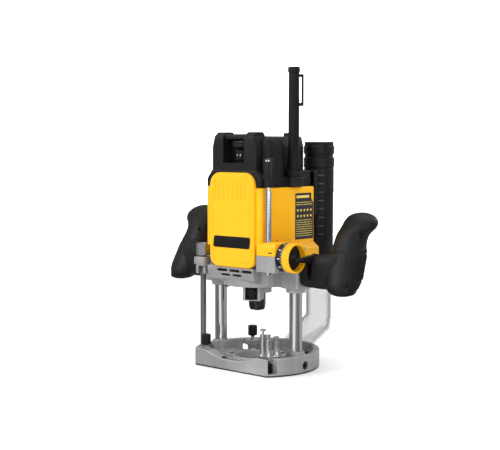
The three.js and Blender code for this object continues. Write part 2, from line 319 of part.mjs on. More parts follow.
// spindle
{
  put('spindle', 'spindle_shaft', lathe([[0, 104.6], [6.5, 104.6], [6.5, 119.4], [8, 119.4], [8, 140], [8, 214.8], [5, 215], [5, 244.8], [0, 244.8]], 0, 0, 20)
    .add(cylZ(7.2, 84, 104.7, 0, 0, 20).subtract(cylZ(4.4, 80, 99, 0, 0, 16))), STL);
  // hexagon collar: one flat faces the spindle lock plunger, whose tip stops the corners when it is pressed in
  const hexA = -Math.PI / 2 + LOCK_AZ + Math.PI / 6;
  put('spindle', 'spindle_lock_collar', prismZ([0, 1, 2, 3, 4, 5].map(i => [LOCK_HEX_R * Math.cos(hexA + i * Math.PI / 3), LOCK_HEX_R * Math.sin(hexA + i * Math.PI / 3)]), 105, 119)
    .subtract(cylZ(6.8, 100, 120, 0, 0, 20)), STL);
  put('spindle', 'armature', lathe([[8.3, 158], [24.8, 158], [24.8, 205], [8.3, 205]], 0, 0, 28), DRK);
  put('spindle', 'commutator', lathe([[5.3, 215.3], [16, 215.3], [16, 230], [5.3, 230]], 0, 0, 20), BRS);
  let fan = lathe([[8.3, 140], [40, 140], [40, 142], [12, 142], [12, 150], [8.3, 150]], 0, 0, 24);
  for (let i = 0; i < 6; i++) fan = fan.add(box(11, 39, -0.8, 0.8, 141.5, 151).rotate([0, 0, 60 * i]));
  put('spindle', 'fan', fan, BLK);
  put('spindle', 'collet', lathe([[3.2, 78.5], [4.1, 78.5], [4.1, 98], [3.2, 98]], 0, 0, 20).subtract(box(-6, 6, -0.4, 0.4, 78, 92)), STL);
  put('collet_nut', 'collet_nut', cylZ(12.7, 80, 102.6, 0, 0, 6).intersect(lathe([[0, 80], [10.6, 80], [12.75, 84], [12.75, 102.6], [0, 102.6]], 0, 0, 24)).subtract(cylZ(7.5, 83.4, 110, 0, 0, 24)).subtract(cylZ(4.4, 70, 90, 0, 0, 20)), DRK);
  put('lock_button', 'spindle_lock_button', lcyl(6.5, 30, 36, 106.7, 20).add(lcyl(2.4, 14.3, 31, 106.7, 12)), BLK);
}
// depth stop rod with rack, pinion shaft, wheel and scale ring
{
  let r = cylZ(ROD_R, ROD_BOTTOM, ROD_TOP - 12, ...ROD, 16).add(cylZ(3, ROD_TOP - 13, ROD_TOP + 18, ...ROD, 16));
  const pitchY = WHEEL_Y - GEAR_R, tip = pitchY + 0.9 * GEAR_M, rootY = pitchY - 1.15 * GEAR_M;
  const half = (RACK_PITCH / 4), tan = Math.tan(20 * Math.PI / 180);
  // space centred on WHEEL_Z; each gap is wider toward the tip
  for (let k = -2; k <= 20; k++) {
    const zc = WHEEL_Z + (k + 0.5) * RACK_PITCH;
    const wTip = half + 0.9 * GEAR_M * tan + 0.12, wRoot = half - 1.15 * GEAR_M * tan + 0.12, y1 = tip + 0.6;
    r = r.subtract(prismX([[rootY, zc - wRoot], [y1, zc - wTip - 0.6 * tan], [y1, zc + wTip + 0.6 * tan], [rootY, zc + wRoot]], ROD[0] - 6, ROD[0] + 6));
  }
  put('depth_rod', 'depth_rod', r, STL);
  let k = lathe([[3.3, 254.6], [5.3, 254.6], [6.2, 266], [7.3, 290], [6.4, 293.7], [0, 293.7], [0, 281], [3.3, 281]], ...ROD, 24);
  put('fine_knob', 'depth_fine_knob', k, BLK);
  // pinion generated against the rack by rolling
  const rTip = GEAR_R + 0.9 * GEAR_M, back = 0.14;
  const inRack = (x, y, s) => { // rack to +x of the gear, pitch line at x = GEAR_R, tooth centred at y = s
    const h = GEAR_R - x; // height above the pitch line, toward the gear
    if (h > 0.9 * GEAR_M + 0.2) return false;
    let d = (y - s) / RACK_PITCH; d = Math.abs(d - Math.round(d)) * RACK_PITCH;
    return d < half - h * tan + back;
  };
  const prof = [];
  const NP = GEAR_N * 7;
  for (let i = 0; i < NP; i++) {
    const ph = 2 * Math.PI * i / NP, tooth = 2 * Math.PI / GEAR_N, pm = ph - tooth * Math.round(ph / tooth);
    let rr = GEAR_R - 1.3 * GEAR_M;
    for (; rr < rTip; rr += 0.03) {
      let hit = false;
      for (let th = -0.9; th <= 0.9 && !hit; th += 0.01) if (inRack(rr * Math.cos(pm + th), rr * Math.sin(pm + th), GEAR_R * th)) hit = true;
      if (hit) break;
    }
    prof.push([Math.min(rr - 0.03, rTip), ph]);
  }
  // gear +x faces the rack at -Y; a roll of +theta carries the rack side downward
  const pts = prof.map(([q, ph]) => { const a = Math.PI - 0; return [WHEEL_Y + q * Math.cos(ph + a), WHEEL_Z + q * Math.sin(ph + a)]; });
  const gear = prismX(pts, 53.2, 62.4);
  put('depth_wheel', 'depth_pinion', gear.add(cylX(4, 51.5, 94, WHEEL_Y, WHEEL_Z, 20)), STL);
  const w = latheX([[4.3, 87.4], [20, 87.4], [20, 98.6], [17.6, 99], [17.2, 90], [8, 90], [7.4, 94], [4.3, 94]], WHEEL_Y, WHEEL_Z, 28);
  put('depth_wheel', 'depth_wheel', w, YEL);
  put('scale_ring', 'depth_scale_ring', latheX([[4.3, 77.3], [19.5, 77.3], [19.5, 87.1], [4.3, 87.1]], WHEEL_Y, WHEEL_Z, 28), BLK);
}
// controls
{
  put('dial', 'speed_dial', (() => { let d = cylZ(8.6, 291, 303.8, 2, -34, 20).add(cylZ(2, 289, 305.1, 2, -34, 12)); for (let i = 0; i < 6; i++) { const a = 2 * Math.PI * i / 6; d = d.subtract(cylZ(0.8, 290, 304, 2 + 8.9 * Math.cos(a), -34 + 8.9 * Math.sin(a), 6)); } return d; })(), BLK);
  put('switch', 'power_switch', prismX([[-43, 308], [-43, 317], [-34, 318.8], [-26, 315], [-26, 311], [-34, 306.8]], -7.6, 11.6), BLK);
  put('lever', 'lock_lever', cylX(7.5, 100, 106.2, 0, LEVER_Z, 24).add(prismX([[-5, LEVER_Z + 6], [-24, LEVER_Z + 4.4], [-41, LEVER_Z + 2.6], [-42, LEVER_Z - 1], [-24, LEVER_Z - 3.6], [-4, LEVER_Z - 6.5]], 100, 106.2)).subtract(cylX(2.9, 98, 104, 0, LEVER_Z, 14)), BLK);
  put('lever', 'lock_screw', cylX(2.6, 79.5, 103.6, 0, LEVER_Z, 14), STL);
}

export default root;
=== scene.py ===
# Plunge router standing on its round base. +Z is up, the front faces -Y and right is +X.
# Pieces are drawn in mm from the vertical spindle axis, with the underside of the sole at z = 0.
import math
import random

import bmesh
import bpy
import numpy as np
from mathutils import Matrix, Vector

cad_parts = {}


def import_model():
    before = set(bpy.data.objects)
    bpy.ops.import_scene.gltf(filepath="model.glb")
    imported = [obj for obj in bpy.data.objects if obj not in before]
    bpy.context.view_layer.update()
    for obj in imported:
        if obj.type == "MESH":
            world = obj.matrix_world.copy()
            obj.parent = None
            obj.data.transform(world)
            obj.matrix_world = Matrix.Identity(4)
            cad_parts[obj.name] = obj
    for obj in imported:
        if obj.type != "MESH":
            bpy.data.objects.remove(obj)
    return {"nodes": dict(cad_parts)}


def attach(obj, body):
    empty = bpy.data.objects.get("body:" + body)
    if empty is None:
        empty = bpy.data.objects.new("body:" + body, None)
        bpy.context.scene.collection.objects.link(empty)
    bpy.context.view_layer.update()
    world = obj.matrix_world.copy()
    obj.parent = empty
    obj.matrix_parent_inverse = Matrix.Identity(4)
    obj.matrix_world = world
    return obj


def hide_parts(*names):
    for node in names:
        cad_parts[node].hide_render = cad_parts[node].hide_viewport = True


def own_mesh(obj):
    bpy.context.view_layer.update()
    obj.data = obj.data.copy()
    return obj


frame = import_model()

random.seed(7)
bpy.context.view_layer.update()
NODES = frame["nodes"]

MM = 0.001
SHIFT_Y = -27.5  # the frame's origin lies behind the spindle axis
UNSHIFT = Matrix.Translation((0, -SHIFT_Y * MM, 0))

# upright axes, as x, y
COLUMN_X = 70
TURRET = (52, -35)
LIMIT_ROD = (-71, -36)
DEPTH_ROD = (57.8, -43.9)
DUST_TUBE = (38.5, 91)
CORD = (53.5, 15)
DIAL = (2, -34)
FENCE_ROD_Y = 50
APRON_SCREW = (-24, -37)
# level axes along x, as y, z
DEPTH_WHEEL = (-33, 161)
LEVER_PIVOT = (0, 158)
# level axes at a heading, as x, y, z and degrees from +X
SPINDLE_LOCK = (0, 0, 106.7, -62)
GRIP_SCREWS = {"lower": (160, -9, 128, -48), "upper": (160.5, 25, 191, -25)}
INNER_SCREW = (127.0, 17.5, 186, -118)


# ------------------------------------------------------------------ shader nodes
def feed(tree, target, inputs):
    """inputs: socket -> a value, or an output to link from"""
    for socket, value in inputs.items():
        if isinstance(value, bpy.types.NodeSocket):
            tree.links.new(value, target.inputs[socket])
        else:
            target.inputs[socket].default_value = value


def node(tree, kind, inputs={}, **settings):
    made = tree.nodes.new("ShaderNode" + kind)
    for key, value in settings.items():
        setattr(made, key, value)
    feed(tree, made, inputs)
    return made


def ramp(tree, factor, *stops):
    """colour ramp; stops are (position, rgb) in order"""
    made = node(tree, "ValToRGB", {"Fac": factor})
    elements = made.color_ramp.elements
    for element, (position, rgb) in zip(elements, (stops[0], stops[-1])):
        element.position = position
        element.color = (*rgb, 1)
    for position, rgb in stops[1:-1]:
        elements.new(position).color = (*rgb, 1)
    return made.outputs["Color"]


def map_range(tree, value, start, end, from_min=0.0, from_max=1.0):
    return node(tree, "MapRange", {
        "From Min": from_min, "From Max": from_max, "To Min": start, "To Max": end,
        "Value": value}).outputs["Result"]


# ------------------------------------------------------------------ materials
def material(name, colour, rough=0.5, metal=0.0, bump=0.05, grain=900, vary=0.04, patches=22,
             wear=0.0, worn=None, spread=0.08, streak=None, coarse=0.0, spec=0.5, aniso=0.0):
    """grain, patches: scales of the fine and broad noise; vary: how far the colour drifts;
    wear, worn: amount and colour of rubbed edges; spread: roughness drift either way;
    streak: stretch of the grain; coarse: share of a coarser grain in the bump"""
    made = bpy.data.materials.new(name)
    made.use_nodes = True
    tree = made.node_tree
    place = node(tree, "TexCoord").outputs["Object"]
    grain_place = place
    if streak:
        mapping = node(tree, "Mapping", {"Scale": streak, "Vector": place})
        grain_place = mapping.outputs["Vector"]
    height = node(tree, "TexNoise", {
        "Scale": grain, "Detail": 3, "Vector": grain_place}).outputs["Fac"]
    broad = node(tree, "TexNoise", {
        "Scale": patches, "Detail": 6, "Roughness": 0.65, "Vector": place}).outputs["Fac"]
    dark = [c * (1 - vary * 2.2) for c in colour]
    light = [min(1, c * (1 + vary * 1.4) + vary * 0.01) for c in colour]
    shade = ramp(tree, broad, (0.32, dark), (0.68, light))
    if wear > 0:
        edge = node(tree, "NewGeometry").outputs["Pointiness"]
        edge = ramp(tree, edge, (0.52, (0, 0, 0)), (0.60, (1, 1, 1)))
        mask = node(tree, "Math", {0: edge}, operation="MULTIPLY")
        blotch = node(tree, "TexNoise", {"Scale": 130, "Vector": place}).outputs["Fac"]
        amount = node(tree, "Math", {0: blotch, 1: wear * 2}, operation="MULTIPLY")
        feed(tree, mask, {1: amount.outputs[0]})
        worn = worn or [min(1, c * 1.6 + 0.03) for c in colour]
        mix = node(tree, "Mix", {0: mask.outputs[0], 6: shade, 7: (*worn, 1)}, data_type="RGBA")
        shade = mix.outputs[2]
    gloss = map_range(tree, broad, max(0.02, rough - spread), min(1, rough + spread))
    if coarse:
        lumps = node(tree, "TexNoise", {"Scale": 160, "Detail": 2, "Vector": place})
        height = node(tree, "Math", {0: lumps.outputs["Fac"], 1: coarse, 2: height},
                      operation="MULTIPLY_ADD").outputs[0]
    relief = node(tree, "Bump", {"Strength": bump, "Distance": 0.0006, "Height": height})
    feed(tree, tree.nodes["Principled BSDF"], {
        "Base Color": shade, "Roughness": gloss, "Metallic": metal, "IOR": 1.45,
        "Specular IOR Level": spec, "Anisotropic": aniso, "Normal": relief.outputs["Normal"]})
    return made


MATERIALS = {
    "yellow": material("yellow_plastic", (0.97, 0.47, 0.006), rough=0.40, bump=0.10,
                       grain=1500, vary=0.02, wear=0.06, spec=0.30),
    "black": material("black_plastic", (0.0085, 0.0085, 0.009), rough=0.46, bump=0.28,
                      grain=1900, vary=0.10, wear=0.10, worn=(0.05, 0.05, 0.05), spec=0.26),
    "grip": material("black_overmould", (0.0065, 0.0065, 0.007), rough=0.60, bump=0.35,
                     grain=1300, vary=0.12, wear=0.08, worn=(0.03, 0.03, 0.03), spec=0.24),
    "gloss": material("black_gloss", (0.008, 0.008, 0.009), rough=0.30, bump=0.06, vary=0.08),
    "rubber": material("soft_rubber", (0.007, 0.007, 0.0075), rough=0.55, bump=0.25,
                       grain=1200, vary=0.12, spec=0.25),
    # painted highlight: pale strips on the ribs of the dust tube
    "tick_and_painted_highlight": material("painted_rib_highlight", (0.085, 0.085, 0.087), vary=0.05),
    "cast": material("cast_aluminium", (0.41, 0.413, 0.416), rough=0.46, metal=0.5,
                     bump=0.30, grain=1500, vary=0.07, patches=30, coarse=0.5,
                     wear=0.20, worn=(0.50, 0.50, 0.50)),
    "chrome": material("hard_chrome", (0.80, 0.805, 0.81), rough=0.12, metal=1.0, bump=0.03,
                       grain=600, vary=0.02, streak=(1, 1, 12), spread=0.05),
    "steel": material("bright_steel", (0.56, 0.565, 0.57), rough=0.27, metal=1.0, bump=0.06,
                      grain=700, vary=0.06, streak=(1, 1, 9), aniso=0.3),
    "dark_steel": material("blackened_steel", (0.045, 0.045, 0.048), rough=0.36, metal=0.9,
                           bump=0.12, vary=0.12, wear=0.3, worn=(0.25, 0.25, 0.25)),
    "laminate": material("laminated_core", (0.16, 0.16, 0.165), rough=0.4, metal=0.9,
                         bump=0.5, grain=40, vary=0.1, streak=(0.5, 0.5, 40)),
    "brass": material("bronze", (0.55, 0.38, 0.15), rough=0.33, metal=1.0, bump=0.08,
                      grain=700, vary=0.08),
    "copper": material("copper_wire", (0.60, 0.24, 0.10), rough=0.35, metal=1.0, bump=0.6,
                       grain=260, vary=0.1),
    "carbon": material("pressed_carbon", (0.03, 0.028, 0.026), rough=0.7, bump=0.3,
                       grain=1800, vary=0.15),
    "sole": material("sole_laminate", (0.020, 0.020, 0.021), rough=0.38, bump=0.12,
                     grain=700, vary=0.1, wear=0.15, worn=(0.10, 0.10, 0.10)),
    "clear": material("clear_plastic", (0.16, 0.165, 0.17), rough=0.07, bump=0.02,
                      grain=200, vary=0.01, spread=0.03),
    "zinc": material("zinc_plated_steel", (0.30, 0.303, 0.306), rough=0.34, metal=1.0,
                     bump=0.10, grain=800, vary=0.08, streak=(1, 1, 6)),
    "mark_white": material("white_print", (0.78, 0.78, 0.76), rough=0.6, vary=0.03),
    "mark_yellow": material("yellow_print", (0.80, 0.62, 0.12), rough=0.6, vary=0.05),
    "label": material("label_film", (0.022, 0.022, 0.023), rough=0.34, grain=500, vary=0.08),
    # painted shade: near-black sheets set in the fence rod grooves, behind the louvres and
    # behind the vents, where those places lie in shade
    "painted_shade": material("painted_shade_dark", (0.010, 0.010, 0.010), rough=0.8, bump=0.2, vary=0.1),
}


def see_through(made, face_on, edge_on):
    """the wall is nearly open face on and closes toward its edges"""
    tree = made.node_tree
    facing = node(tree, "LayerWeight", {"Blend": 0.35}).outputs["Facing"]
    alpha = map_range(tree, facing, face_on, edge_on, from_min=0.15, from_max=0.95)
    feed(tree, tree.nodes["Principled BSDF"], {"Alpha": alpha})


see_through(MATERIALS["clear"], face_on=0.15, edge_on=0.75)


# ------------------------------------------------------------------ objects and modifiers
def metres(x, y, z):
    """a place in mm from the spindle axis, in the frame's metres"""
    return Vector((x * MM, (y + SHIFT_Y) * MM, z * MM))


def soft(o, degrees=32):
    """smooth shading, sharp at edges steeper than the angle"""
    mesh = o.data
    mesh.polygons.foreach_set("use_smooth", [True] * len(mesh.polygons))
    mesh.set_sharp_from_angle(angle=math.radians(degrees))
    mesh.update()


def new_object(verts, faces, smooth=True):
    mesh = bpy.data.meshes.new("part")
    mesh.from_pydata([metres(*v) for v in verts], [], faces)
    mesh.validate()
    o = bpy.data.objects.new("part", mesh)
    bpy.context.scene.collection.objects.link(o)
    bm = bmesh.new()
    bm.from_mesh(mesh)
    bmesh.ops.remove_doubles(bm, verts=bm.verts, dist=1e-7)
    bmesh.ops.recalc_face_normals(bm, faces=bm.faces)
    bm.to_mesh(mesh)
    bm.free()
    if smooth:
        soft(o)
    return o


def modify(o, kind, **settings):
    modifier = o.modifiers.new(kind.lower(), kind)
    for key, value in settings.items():
        setattr(modifier, key, value)


def bake(o):
    """modifiers become the mesh"""
    bpy.context.view_layer.update()
    graph = bpy.context.evaluated_depsgraph_get()
    mesh = bpy.data.meshes.new_from_object(o.evaluated_get(graph))
    o.modifiers.clear()
    o.data = mesh


def volume(mesh):
    """cubic mm"""
    bm = bmesh.new()
    bm.from_mesh(mesh)
    v = bm.calc_volume(signed=True)
    bm.free()
    return v * 1e9


def boolean(o, cutters, operation):
    """each cutter in turn; an impossible volume sends it to the next solver,
    and a cutter that no solver manages is left out"""
    for cutter in cutters:
        size, other = abs(volume(o.data)), abs(volume(cutter.data))
        slack = 0.5 + 0.002 * size
        least, most = {
            "DIFFERENCE": (size - other - slack, size + slack),
            "UNION": (max(size, other) - slack, size + other + slack),
            "INTERSECT": (0, min(size, other) + slack),
        }[operation]
        before = o.data.copy()
        for solver in ("MANIFOLD", "EXACT", "FAST"):
            modify(o, "BOOLEAN", operation=operation, solver=solver, object=cutter)
            bake(o)
            if least <= volume(o.data) <= most and len(o.data.polygons) > 0:
                break
            o.data = before.copy()
        bpy.data.objects.remove(cutter)


def cut(o, *cutters):
    boolean(o, cutters, "DIFFERENCE")


def fuse(o, *others):
    boolean(o, others, "UNION")


def trim(o, other):
    boolean(o, [other], "INTERSECT")


def join(parts):
    """separate solids as one object"""
    first = parts[0]
    bm = bmesh.new()
    bm.from_mesh(first.data)
    for other in parts[1:]:
        bm.from_mesh(other.data)
        bpy.data.objects.remove(other)
    bm.to_mesh(first.data)
    bm.free()
    return first


def bevel(o, width, degrees=30):
    modify(o, "BEVEL", width=width * MM, segments=2, limit_method="ANGLE",
           angle_limit=math.radians(degrees))
    bake(o)


def remesh(o, voxel, smoothing, ratio=1.0):
    """one flowing skin, as on a casting"""
    modify(o, "REMESH", mode="VOXEL", voxel_size=(voxel * 1.0) * MM)
    bake(o)
    modify(o, "SMOOTH", iterations=smoothing, factor=0.5)
    if ratio < 1:
        modify(o, "DECIMATE", ratio=ratio)
    bake(o)
    o.data.polygons.foreach_set("use_smooth", [True] * len(o.data.polygons))


def from_cad(name):
    """a fresh mesh shaped like a CAD node, to work further on"""
    mesh = NODES[name].data.copy()
    o = bpy.data.objects.new("part", mesh)
    bpy.context.scene.collection.objects.link(o)
    bm = bmesh.new()
    bm.from_mesh(mesh)
    bmesh.ops.remove_doubles(bm, verts=bm.verts, dist=1e-6)
    bmesh.ops.dissolve_limit(bm, angle_limit=math.radians(0.6), verts=bm.verts, edges=bm.edges)
    bm.to_mesh(mesh)
    bm.free()
    for attribute in ("sharp_edge", "custom_normal"):
        if attribute in mesh.attributes:
            mesh.attributes.remove(mesh.attributes[attribute])
    mesh.materials.clear()
    return o


def show(o, body, look, replaced=None, name=None):
    """name, material, moving body and the CAD node the object stands for"""
    o.name = o.data.name = name or replaced + "_look"
    o.data.materials.clear()
    o.data.materials.append(MATERIALS[look])
    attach(o, body)
    if replaced:
        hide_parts(replaced)


def keep(name, look, width):
    """a CAD node shown as it is, with its own surface and broken edges"""
    o = NODES[name]
    o.data.materials.clear()
    o.data.materials.append(MATERIALS[look])
    modify(o, "WELD", merge_threshold=1e-6)
    modify(o, "BEVEL", width=width * MM, segments=2, limit_method="ANGLE",
           angle_limit=math.radians(38))


def turn(o, degrees, centre=(0, 0)):
    """turn about an upright axis"""
    c = metres(*centre, 0)
    rotation = Matrix.Rotation(math.radians(degrees), 4, "Z")
    o.data.transform(Matrix.Translation(c) @ rotation @ Matrix.Translation(-c))
    return o


def swing(o, degrees, x, y, z=0):
    """turn about the spindle axis, then move so that the axis stands at x, y"""
    rotation = Matrix.Rotation(math.radians(degrees), 4, "Z")
    o.data.transform(Matrix.Translation(metres(x, y, z)) @ rotation @ UNSHIFT)
    return o


# ------------------------------------------------------------------ outlines
def angles(n):
    return [2 * math.pi * i / n for i in range(n)]


def polar(centre, radius, angle):
    return centre[0] + radius * math.cos(angle), centre[1] + radius * math.sin(angle)


def hexagon(centre, radius, start=0):
    return [polar(centre, radius, math.radians(start + 60 * i)) for i in range(6)]


def flute(angle, count, depth, power=1):
    """how far the flutes of a knob dip at an angle"""
    return depth * (0.5 + 0.5 * math.cos(count * angle)) ** power


def rounded(points, radius, steps=6):
    """outline with rounded corners; a point may carry its own radius"""
    out = []
    n = len(points)
    for i, point in enumerate(points):
        r = point[2] if len(point) > 2 else radius
        corner = Vector(point[:2])
        before, after = Vector(points[i - 1][:2]), Vector(points[(i + 1) % n][:2])
        if r < 1e-4:
            out.append(tuple(corner))
            continue
        u, v = (before - corner).normalized(), (after - corner).normalized()
        angle = math.acos(max(-1, min(1, u.dot(v))))
        if angle > math.pi - 0.01:
            out.append(tuple(corner))
            continue
        d = min(r / math.tan(angle / 2), (before - corner).length * 0.49,
                (after - corner).length * 0.49)
        r = d * math.tan(angle / 2)
        centre = corner + (u + v).normalized() * (r / math.sin(angle / 2))
        first, last = corner + u * d - centre, corner + v * d - centre
        start = math.atan2(first.y, first.x)
        sweep = math.atan2(last.y, last.x) - start
        while sweep > math.pi:
            sweep -= 2 * math.pi
        while sweep < -math.pi:
            sweep += 2 * math.pi
        out += [polar(centre, r, start + sweep * k / steps) for k in range(steps + 1)]
    return out


def rect(x0, x1, y0, y1, radius=0.0, steps=6):
    return rounded([(x0, y0), (x1, y0), (x1, y1), (x0, y1)], radius, steps)


def inset(outline, d):
    """outline moved inward by d along its corner normals"""
    n = len(outline)
    area = sum(outline[i][0] * outline[(i + 1) % n][1] - outline[(i + 1) % n][0] * outline[i][1]
               for i in range(n))
    sign = 1 if area > 0 else -1

    def inward(edge):
        return Vector((-edge.y, edge.x)) * sign

    points = [Vector(p[:2]) for p in outline]
    edges = [points[(i + 1) % n] - points[i] for i in range(n)]
    moved = []
    for i, p in enumerate(points):
        e1, e2 = p - points[i - 1], edges[i].copy()
        if e1.length < 1e-9:
            e1 = e2.copy()
        if e2.length < 1e-9:
            e2 = e1.copy()
        e1.normalize()
        e2.normalize()
        m = inward(e1) + inward(e2)
        m = m / max(0.3, m.length_squared) * 2 if m.length > 1e-6 else inward(e1)
        moved.append((p.x + m.x * d, p.y + m.y * d))
    # corners rounder than the inset allows shrink to where their two long neighbours meet
    bad = [(Vector(moved[(i + 1) % n]) - Vector(moved[i])).dot(edges[i]) <= 0 for i in range(n)]
    if not any(bad) or all(bad):
        return moved
    start = next(i for i in range(n) if bad[i] and not bad[i - 1])
    i = start
    while i < start + n:
        if not bad[i % n]:
            i += 1
            continue
        j = i
        while bad[(j + 1) % n] and j < i + n:
            j += 1
        a, b = (i - 1) % n, (j + 1) % n
        ea, eb = edges[a].normalized(), edges[b].normalized()
        pa, pb = points[a] + inward(ea) * d, points[b] + inward(eb) * d
        cross = ea.x * eb.y - ea.y * eb.x
        if abs(cross) > 1e-6:
            meet = pa + ea * (((pb - pa).x * eb.y - (pb - pa).y * eb.x) / cross)
        else:
            meet = (Vector(moved[i % n]) + Vector(moved[b])) / 2
        for k in range(i, j + 2):
            moved[k % n] = (meet.x, meet.y)
        i = j + 1
    return moved


# ------------------------------------------------------------------ solids
# flat coordinates u, v and a height w along the named axis, to x, y, z
LAY = {
    "z": lambda u, v, w: (u, v, w),
    "x": lambda u, v, w: (w, u, v),
    "y": lambda u, v, w: (u, w, v),
}


def rings(loops, closed=False, smooth=True):
    """skin through loops with equal point counts; closed joins the last to the first"""
    n, count = len(loops[0]), len(loops)
    faces = []
    for i in range(count if closed else count - 1):
        a, b = i * n, ((i + 1) % count) * n
        for j in range(n):
            k = (j + 1) % n
            faces.append((a + j, a + k, b + k, b + j))
    if not closed:
        faces.append(tuple(range(n))[::-1])
        faces.append(tuple(range((count - 1) * n, count * n)))
    return new_object([p for loop in loops for p in loop], faces, smooth)


def lathe(profile, centre=(0, 0), axis="z", n=72):
    """profile: (radius, height) points of a closed outline"""
    return rings([[LAY[axis](*polar(centre, r, t), h) for r, h in profile]
                  for t in angles(n)], closed=True)


def cyl(radius, low, high, centre=(0, 0), axis="z", n=48, high_radius=None):
    ends = ((radius, low), (high_radius or radius, high))
    return rings([[LAY[axis](*polar(centre, r, t), h) for t in angles(n)] for r, h in ends],
                 smooth=False)


def bar(radius, start, end, place, n=32, end_radius=None):
    """round bar on a level axis; place: x, y, z, heading; start and end lie along it"""
    x, y, z, heading = place
    return swing(cyl(radius, start, end, axis="x", n=n, high_radius=end_radius),
                 heading, x, y, z)


def box(x0, x1, y0, y1, z0, z1):
    return rings([[(x0, y0, z), (x1, y0, z), (x1, y1, z), (x0, y1, z)] for z in (z0, z1)],
                 smooth=False)


def slab(outline, low, high, axis="z", low_r=0.0, high_r=0.0, steps=4, smooth=True):
    """outline extruded along the axis, its two rims rounded by low_r and high_r"""
    def rim(r):
        if r <= 0:
            return []
        turns = [math.pi / 2 * k / steps for k in range(steps, 0, -1)]
        return [(r * (1 - math.cos(t)), r * (1 - math.sin(t))) for t in turns]

    levels = [(inset(outline, d), low + h) for d, h in rim(low_r)]
    levels += [(outline, low + low_r), (outline, high - high_r)]
    levels += [(inset(outline, d), high - h) for d, h in reversed(rim(high_r))]
    return rings([[LAY[axis](u, v, w) for u, v in points] for points, w in levels],
                 smooth=smooth)


def wire(points, radius, n):
    """round wire along points"""
    path = [Vector(p) for p in points]
    u = (path[1] - path[0]).normalized().orthogonal().normalized()
    loops = []
    for i, p in enumerate(path):
        along = (path[min(i + 1, len(path) - 1)] - path[max(i - 1, 0)]).normalized()
        u = (u - along * u.dot(along)).normalized()
        v = along.cross(u)
        loops.append([tuple(p + u * radius * math.cos(t) + v * radius * math.sin(t))
                      for t in angles(n)])
    return rings(loops)


def thread(crest, root, start, pitch, turns, half):
    """profile of grooves, each falling and rising over half"""
    profile = []
    for i in range(turns):
        z = start + pitch * i
        profile += [(crest, z), (root, z + half), (crest, z + 2 * half)]
    return profile


SIDES = ((-1, "left"), (1, "right"))
ENDS = ((-1, "front"), (1, "rear"))


# ================================================================== base
def columns():
    """slotted hollow columns with their return springs"""
    turns, coil, foot, rise = 19, 5.0, 13.2, 134
    for side, name in SIDES:
        x = COLUMN_X * side
        tube = lathe([(6.4, 12), (6.4, 167.2), (7.0, 168), (8.3, 168), (9, 167.2), (9, 3.6),
                      (8.6, 3.3), (0, 3.3), (0, 12)], (x, 0), n=96)
        cut(tube, box(x - 2.6, x + 2.6, 0, 12, 62, 158))
        soft(tube)
        show(tube, "base", "chrome", "column_" + name)
        path = [(*polar((x, 0), coil, 2 * math.pi * turns * t), foot + rise * t)
                for t in np.linspace(0, 1, turns * 14 + 1)]
        spring = wire(path, 0.75, n=8)
        show(spring, "base", "steel", "return_spring_" + name)
        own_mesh(spring)


def base_casting():
    base = from_cad("base_casting")
    # radial ribs, none across the front
    for i in range(14):
        heading = 12 + i * 360 / 14
        if not 230 < heading % 360 < 310:
            fuse(base, turn(box(36, 81.5, -1.1, 1.1, 8.5, 11.6), heading))
    fuse(base, lathe([(31.2, 13.5), (31.2, 15.6), (34.0, 15.6), (35.0, 13.5)]))
    # drilled bosses: x, y, radius
    for x, y, r in ((-30, 26, 4.6), (30, 26, 4.6), (-30, -26, 4.6), (12, -44, 4.2),
                    (-44, 5, 4.4)):
        fuse(base, cyl(r, 8.5, 15.6, (x, y), n=28))
        cut(base, cyl(r * 0.45, 10.5, 20, (x, y), n=18))
    cut(base, box(-0.35, 0.35, -60, -57.3, 2, 13.5))
    cut(base, cyl(31, 0, 40, n=72),
        *[cyl(9.3, 3, 40, (side * COLUMN_X, 0)) for side in (1, -1)],
        cyl(16.25, 19.7, 40, TURRET))
    remesh(base, 0.62, 3, 0.55)
    show(base, "base", "cast", "base_casting")


def sole_plate():
    """round plate, cut straight along the front"""
    radius, front = 87.4, -57.4
    screws = ((-40, 48), (40, 48), (-48, -26), (26, -50))
    a = math.asin(-front / radius)
    outline = [polar((0, 0), radius, t) for t in np.linspace(-a, math.pi + a, 97)]
    sole = slab(outline, 0, 1.5, low_r=0.5, high_r=0.2)
    cut(sole, cyl(28, -2, 4, n=72))
    for place in screws:
        cut(sole, cyl(4.0, -1, 0.9, place, n=28))
    soft(sole)
    show(sole, "base", "sole", "sole_plate")
    head = [(0, 0.93), (3.7, 0.93), (3.7, 0.55), (2.2, 0.15), (1.0, 0.15), (1.0, 0.6), (0, 0.6)]
    show(join([lathe(head, place, n=28) for place in screws]), "base", "steel",
         name="sole_screws_look")


def limit_rod():
    profile = [(0, 5.3), (4.4, 5.3), (4.4, 24.0)]
    profile += thread(crest=4.42, root=3.85, start=24.15, pitch=1.5, turns=99, half=0.6)
    profile += [(4.0, 172.4), (3.4, 173), (0, 173)]
    show(lathe(profile, LIMIT_ROD, n=36), "base", "zinc", "limit_rod")


def dust_duct():
    duct = from_cad("dust_duct")
    remesh(duct, 0.62, 5, 0.6)
    show(duct, "base", "clear", "dust_duct")


